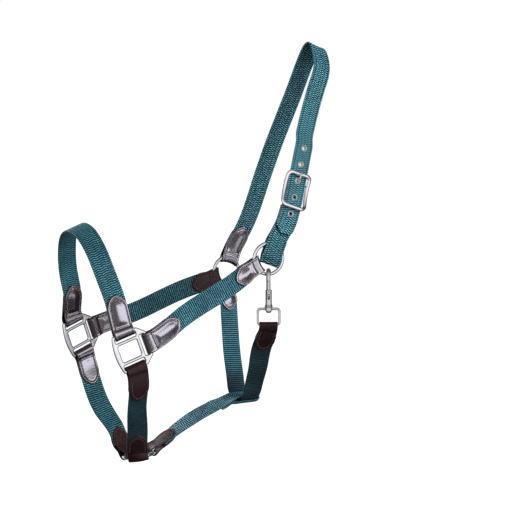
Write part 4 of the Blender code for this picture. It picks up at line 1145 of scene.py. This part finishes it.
def build_webbing(routes, middle, stops):
    """All the webbing. stops are the eyelets' places on the crown."""
    plain = webbing_material("webbing_weave")
    # painted shade: all of the near lower strap and the far cheek strap, and the throat strap up to 148 mm,
    # are coloured darker because they lie in shade
    near_lower = webbing_material("webbing_lower_painted_shade", 400.0, 0.38)
    throat = webbing_material("webbing_throat_painted_shade", 148.0, 0.27)
    far_cheek = webbing_material("webbing_far_cheek_painted_shade", 400.0, 0.62)
    for name, key, foot, mat, stagger, interior in (
            ("near_cheek_strap", "near_cheek", WEB_AT_RING, plain, 0.06, 22),
            ("far_cheek_strap", "far_cheek", WEB_AT_RING, far_cheek, 0.06, 22),
            ("throat_strap", "throat", WEB_AT_RING, throat, 0.06, 22),
            ("noseband_top", "noseband", WEB_START, plain, 0.6, 26),
            ("near_lower_noseband", "near_lower", WEB_START, near_lower, 0.3, 26),
            ("far_lower_noseband", "far_lower", WEB_START, plain, 0.3, 26)):
        route = routes[key]
        webbing(name, route, flat_run(WEB_START, route.length - foot), mat, stagger, interior)

    crown, rise = routes["crown"], middle - 75
    path = flat_run(WEB_AT_RING, rise)[:-1]
    path += eased([(rise, 0.0), (rise + 18, BILLET_N), (middle + BILLET_TIP, BILLET_N)])
    holes = [(float(d), EYELET_CUT) for d in np.interp(stops, [s for s, _ in path], path_lengths(path))]
    webbing("crown_strap", crown, path, plain, 1.0, 26, holes, tip=True, painted_contrast=1.6)

    # the chape: round the buckle's bar, down in front, round the near ring and up behind
    bar, foot, toe = middle + BAR_S, crown.length, 1.9
    over_bar = BAR_RADIUS + GAP + HALF_WEB
    over_ring = RING_WIRE + GAP + HALF_WEB
    path = eased([(bar + 26, -CHAPE_N), (bar + 12, -CHAPE_N), (bar, BAR_N - over_bar)])
    turn_at = path_lengths(path)[-1]
    path += arc(bar, BAR_N, over_bar, -90, -270)[1:-1]
    path += eased([(bar, BAR_N + over_bar), (bar + 8, CHAPE_N), (foot - 29.5, CHAPE_N),
                   (foot - 21.5, over_ring), (foot - 4, over_ring), (foot + 4, toe)])[1:]
    path += arc(foot + 4, 0.0, toe, 90, -90)[1:-1]
    path += eased([(foot + 4, -toe), (foot - 4, -over_ring), (foot - 21.5, -over_ring),
                   (foot - 29.5, -CHAPE_N), (bar + 30, -CHAPE_N)])[1:]
    slot = (turn_at - 4.5, turn_at + math.pi * over_bar + 4.5, 1.7)
    webbing("buckle_chape", crown, path, plain, 1.0, 26, slot=slot, painted_contrast=1.2)

    # the chin strap's end loops round the throat strap
    chin = routes["chin"]
    end = chin.length
    clear = HALF_WEB + GAP + HALF_WEB + 0.6
    path = flat_run(WEB_START, end - 64)[:-1]
    path += eased([(end - 64, 0.0), (end - 50, -CHAPE_N), (end - 34, -CHAPE_N), (end - 28, -clear),
                   (end, -clear)])
    path += arc(end, 0.0, clear, -90, 90)[1:-1]
    path += eased([(end, clear), (end - 28, clear), (end - 34, CHAPE_N), (end - 50, CHAPE_N)])
    webbing("chin_strap", chin, path, plain, 0.5)


def build_leather(routes):
    # One leather in two copies: the glossy ends keep the coat and a pale thread, which is partly a painted
    # highlight; the ends that lie in shade get a matt, redder copy with dark thread, which is painted shade.
    polished = [leather_material("leather_polished", 1.0, 0.17, 1.3, 0.4, 0.000012)]
    plain = [leather_material("leather_plain_shaded_copy", 0.0, 0.42, 1.7, 0.14, 0.00008)]
    polished.append(thread_material("thread_lit_copy", (0.20, 0.13, 0.13), (0.44, 0.34, 0.35)))
    plain.append(thread_material("thread_shaded_copy", (0.060, 0.022, 0.018), (0.150, 0.060, 0.048)))
    for name, key, end, opening, length, waist, relief in (
            ("crown_far_ring_tab", "crown", 0, AT_RING, 62, None, 1.0),
            ("near_cheek_front_tab", "near_cheek", 0, AT_BAR, 47, None, 1.0),
            ("near_cheek_ring_tab", "near_cheek", 1, AT_RING, 52, 10.4, 1.0),
            ("far_cheek_front_tab", "far_cheek", 0, AT_BAR, 47, None, 0.5),
            ("far_cheek_ring_tab", "far_cheek", 1, AT_RING, 52, 10.4, FLAT_RELIEF),
            ("noseband_far_tab", "noseband", 0, AT_BAR, 46, None, 1.0),
            ("noseband_near_tab", "noseband", 1, AT_BAR, 46, None, 1.0),
            ("near_lower_square_tab", "near_lower", 0, AT_BAR, 42, None, FLAT_RELIEF),
            ("near_lower_chin_tab", "near_lower", 1, AT_BAR, 34, None, FLAT_RELIEF),
            ("far_lower_chin_tab", "far_lower", 0, AT_BAR, 34, None, FLAT_RELIEF),
            ("far_lower_square_tab", "far_lower", 1, AT_BAR, 42, None, 0.35),
            ("chin_strap_tab", "chin", 0, AT_BAR, 36, None, FLAT_RELIEF),
            ("throat_snap_tab", "throat", 0, AT_EYE, 36, 11.0, FLAT_RELIEF),
            ("throat_far_ring_tab", "throat", 1, AT_RING, 50, 8.5, 1.0)):
        # the flat ends, which lie in shade, get the matt copy with dark thread: painted shade
        mats = plain if relief == FLAT_RELIEF else polished
        leather_end(name, routes[key], end, opening, length, waist, mats, relief)


def build_metal(crown, middle, stops, snap):
    nickel = metal_material(
        "nickel_polished", (0.87, 0.86, 0.89), (0.97, 0.96, 0.98), 0.08, 0.14, depth=0.000006)
    plating = metal_material("eyelet_plating", (0.86, 0.81, 0.79), (0.97, 0.93, 0.91), 0.28, 0.40)
    satin = metal_material("snap_satin", (0.62, 0.60, 0.58), (0.80, 0.78, 0.75), 0.16, 0.30, 160.0, 0.00001)
    buckle(crown, middle, nickel)
    for number, s in enumerate(stops, 1):
        eyelet(number, crown, s, plating)
    halter_square("near_square", NEAR_SQUARE, -1, nickel)
    halter_square("far_square", FAR_SQUARE, 1, nickel)
    ring("near_ring", NEAR_RING, NEAR_RING_AXIS, nickel)
    ring("far_ring", FAR_RING, FAR_RING_AXIS, nickel)
    ring("chin_ring", CHIN_RING, CHIN_RING_AXIS, nickel)
    snap.body(satin)
    snap.bolt(satin)
    snap.eye(satin)


def build_halter():
    snap = Snap()
    near_bends = (-225, -62.5, -315.5), (-178, -60.5, -292.8), (-145, -59.3, -275.8)
    far_bends = (-225, 67, -327.2), (-188, 62, -313), (-150, 57, -299.3)
    routes = {"crown": crown_route(), "noseband": noseband_route(), "near_lower": near_lower_route(),
              "far_lower": far_lower_route(), "chin": chin_route(), "throat": throat_route(snap),
              "near_cheek": cheek_route(-1, NEAR_RING, NEAR_RING_AXIS, (0.88, -0.05, 0.45), near_bends),
              "far_cheek": cheek_route(1, FAR_RING, FAR_RING_AXIS, (0.94, 0.05, 0.33), far_bends)}
    middle = routes["crown"].length - BUCKLE_FROM_RING
    stops = [middle + BAR_S - TONGUE_REACH - 0.3 + EYELET_PITCH * k for k in range(-2, 3)]
    build_webbing(routes, middle, stops)
    build_leather(routes)
    build_metal(routes["crown"], middle, stops, snap)


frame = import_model()
build_camera()
build_floor()
build_world()
build_halter()
frame["nodes"]["snap_spring"].data.materials[0] = metal_material(
    "spring_wire", (0.42, 0.42, 0.43), (0.60, 0.60, 0.61), 0.22, 0.34)
build_lamps()
